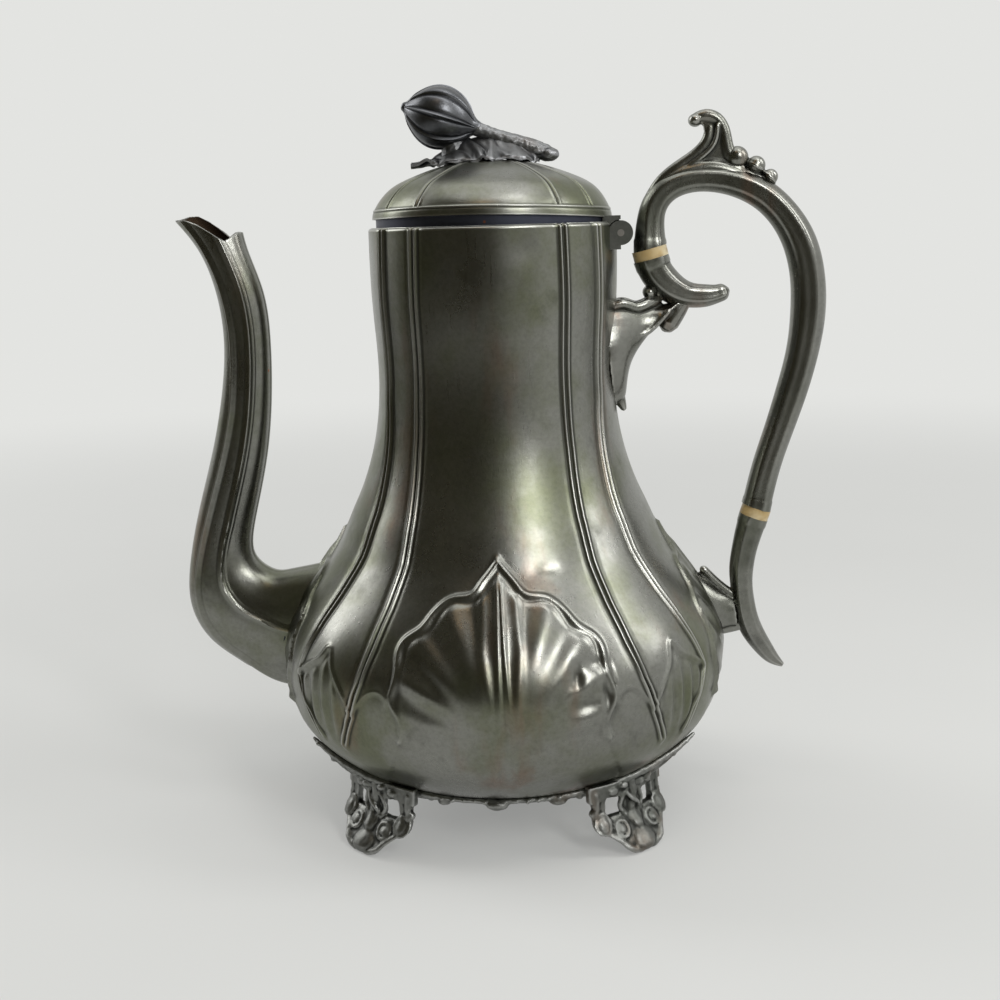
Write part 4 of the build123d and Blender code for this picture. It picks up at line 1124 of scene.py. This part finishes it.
foot_shapes = [
    slab(
        [(-18, 18.6), (-11, 19.8), (0, 18), (11, 19.8), (18, 18.6), (18, 24.5), (-18, 24.5)],
        -1.7, 1.4,
    ),
    slab([(-4, 8), (4, 8), (3.6, 14), (4.6, 21), (-4.6, 21), (-3.6, 14)], -1.6, 1.2),
    slab(
        [
            (-16.4, 12.8), (16.4, 12.8), (16.6, 10.2), (14.8, 8.4), (12.4, 8), (8.4, 4.4),
            (4.8, 0.6), (3, 0.1), (-3, 0.1), (-4.8, 0.6), (-8.4, 4.4), (-12.4, 8), (-14.8, 8.4),
            (-16.6, 10.2),
        ],
        -1.4, 1.0,
    ),
    tube([(0, 0.2, 24, 2.4), (0.6, 0.6, 19, 2), (-0.4, 0.6, 14, 2), (0, 0.6, 9.5, 2.6)]),
    ball(0, 0.6, 4, 4.6, 2.8, 4),
    foot_ring(0, 4.2, 3, 0.75),
    foot_ring(0, 11, 2.2, 0.65),
    tube([
        (-2.8, 1.2, 20.4, 0.7), (-1, 2.4, 17.6, 0.8), (1.6, 2.4, 15.4, 0.8), (2.6, 1.4, 12.8, 0.7),
    ]),
]
for side in (-1, 1):
    foot_shapes += [
        slab(
            sided(side, [(11.4, 9), (16.2, 9), (15.8, 15), (17.2, 21), (11, 21), (11.8, 15)]),
            -1.5, 1.2,
        ),
        tube(sided(side, [
            (15.4, 0.6, 22, 1.3), (15.2, 0.8, 17, 1.1), (15.6, 0.9, 11, 1.2), (13.2, 0.9, 8.8, 1.2),
        ])),
        ball(side * 13.8, 1, 11.4, 2.4, 1.9, 3.2),
        foot_ring(side * 13.8, 11.4, 3, 0.6),
        ball(side * 7.4, 0.9, 8.8, 2.2, 1.4, 1.6),
        foot_ring(side * 7, 8.8, 2.4, 0.6),
        tube(sided(side, [
            (12.4, 0.9, 8.2, 0.9), (9, 1.2, 5.4, 1), (5.6, 1.2, 2, 1.1), (2.4, 1.3, 1, 1),
        ])),
        tube(sided(side, [
            (3.6, 1, 12.6, 0.9), (5.2, 0.8, 15, 0.9), (4.2, 1, 18.4, 0.9), (2.2, 1.2, 21, 0.8),
        ])),
        ball(side * 8.5, 1, 21.6, 2.4, 1.5, 1.7),
        ball(side * 3.6, 1.4, 22.8, 1.8, 1.4, 1.4),
        ball(side * 16.4, 0.2, 15, 1.4),
    ]


def standing(azimuth):
    """Bends a foot's flat drawing round the pot at an azimuth, along the foot's own profile."""

    def place(points):
        radius = np.interp(points[:, 2], *foot_profile) + points[:, 1]
        angle = radians(azimuth) + points[:, 0] / foot_circle
        height = np.maximum(points[:, 2], 0)
        return np.stack([radius * np.cos(angle), radius * np.sin(angle), height], axis=1)

    return place


azimuths = {"back_right": 45, "back_left": 135, "front_left": 225, "front_right": 315}
for name, azimuth in azimuths.items():
    cast(
        f"foot_cast_{name}", foot_shapes, 0.42, cast_pewter, "pot", "cast_pewter", [f"foot_{name}"],
        place=standing(azimuth), soften=2, rough=0.12,
    )


def on_belly(bearing, height, lift, toward):
    """A point off the vessel's surface by lift, by its bearing from the front or the back."""
    radius, angle = on_outline(height)[0] + lift, radians(bearing)
    return radius * sin(angle), toward * radius * cos(angle), height - 0.6 * lift


garland_line = np.array([
    (-65, 36, 0.6), (-60, 32.6, 1), (-52, 28.2, 1.3), (-44, 25.4, 1.5), (-34, 23, 1.4),
    (-25, 21.8, 1.1), (-12, 21.2, 1), (0, 21, 1), (12, 21.2, 1), (25, 21.8, 1.1), (34, 23, 1.4),
    (44, 25.4, 1.5), (52, 28.2, 1.3), (60, 32.6, 1), (65, 36, 0.6),
])
bud_count = 34
garland = []
for toward in (-1, 1):
    for drop, size in ((0.0, 1.05), (-3.4, 1.25)):
        wing = []
        for b, z, r in garland_line:
            apart = ease(abs(b), 20, 34)
            hang = drop * (0.3 + 0.7 * apart) * (1 - 0.75 * ease(abs(b), 52, 64))
            off = 0.4 - 0.3 * drop * apart * (1 - ease(abs(b), 52, 62))
            wing.append((*on_belly(b, z + hang - 0.5, off, toward), size * r))
        garland.append(tube(wing, rows=140, around=10))
    for k in range(bud_count):
        b = -63 + 3.8 * k
        wide = ease(abs(b), 20, 34) * (1 - ease(abs(b), 56, 63))
        z = np.interp(b, garland_line[:, 0], garland_line[:, 1])
        z = z - 2.6 * wide * (1 + 0.5 * sin(2.3 * k))
        x, y, z = on_belly(b, z - 0.4, 0.9 + 0.5 * wide + 0.3 * sin(1.7 * k), toward)
        garland.append(ball(x, y, z, 0.8 + 1.1 * wide * max(0.2, 0.5 + 0.6 * cos(2.1 * k))))
    for b, size in ((-1.5, 1.0), (-21.0, 0.6), (20.5, 0.8), (47.0, 1.1), (-47.0, 1.1)):
        x, y, z = on_belly(b, 20.6 if abs(b) < 40 else 24.0, 0.6, toward)
        garland.append(ball(x, y, z - 1.2, 4.0 * size, 2.0, 1.9 * size))
cast(
    "garland", garland, 0.5, cast_pewter, "pot", "cast_pewter", ["foot_band"],
    soften=2, rough=0.15,
)

# Small fittings: bone washers keep the heat from the hand, and pins, a stud and a nut hold
# the handle, the hinge and the knob. All of them are shown with the solids' own meshes.
bone, place = new_material("bone")
rings_of_growth = place.noise(240, detail=3, stretch=(1, 1, 4))
bone_color = place.noise(90, detail=4).rise(0.4, 0.7)
bone_color = bone_color.mix((0.42, 0.3, 0.13, 1), (0.62, 0.54, 0.36, 1))
bone_color = (rings_of_growth.rise(0.5, 0.75) * 0.5).mix(bone_color, (0.24, 0.15, 0.06, 1))
bone_ridges = {"Strength": 0.2, "Distance": 0.0001, "Height": rings_of_growth}
bone_bump = place.node("ShaderNodeBump", bone_ridges)
bone_gloss = 0.32 + rings_of_growth * 0.15
sockets = {
    "Base Color": bone_color, "Roughness": bone_gloss, "Normal": bone_bump,
    "Specular IOR Level": 0.45,
}
place.fill(place.node("ShaderNodeBsdfPrincipled", sockets))
steel = pewter(
    "steel", (0.42, 0.415, 0.4, 1), (0.12, 0.115, 0.11, 1), (0.3, 0.285, 0.265, 1),
    (0.28, 0.15, 0.08, 1), 0.34, 1800,
)
for nodes, material in (
    (("insulator_upper", "insulator_lower"), bone),
    # The mouth ring, the strainer and the base plate take the bezel's near-black painted-shade
    # colours.
    (("mouth_ring", "spout_strainer", "base_plate"), bezel_painted_shade),
    (("hinge_body_leaf", "hinge_lid_leaf"), cast_pewter),
    (
        ("hinge_pin", "finial_stud", "finial_washer", "finial_nut", "tenon_upper", "tenon_lower"),
        steel,
    ),
):
    for node in nodes:
        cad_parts[node].data.materials.clear()
        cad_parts[node].data.materials.append(material)
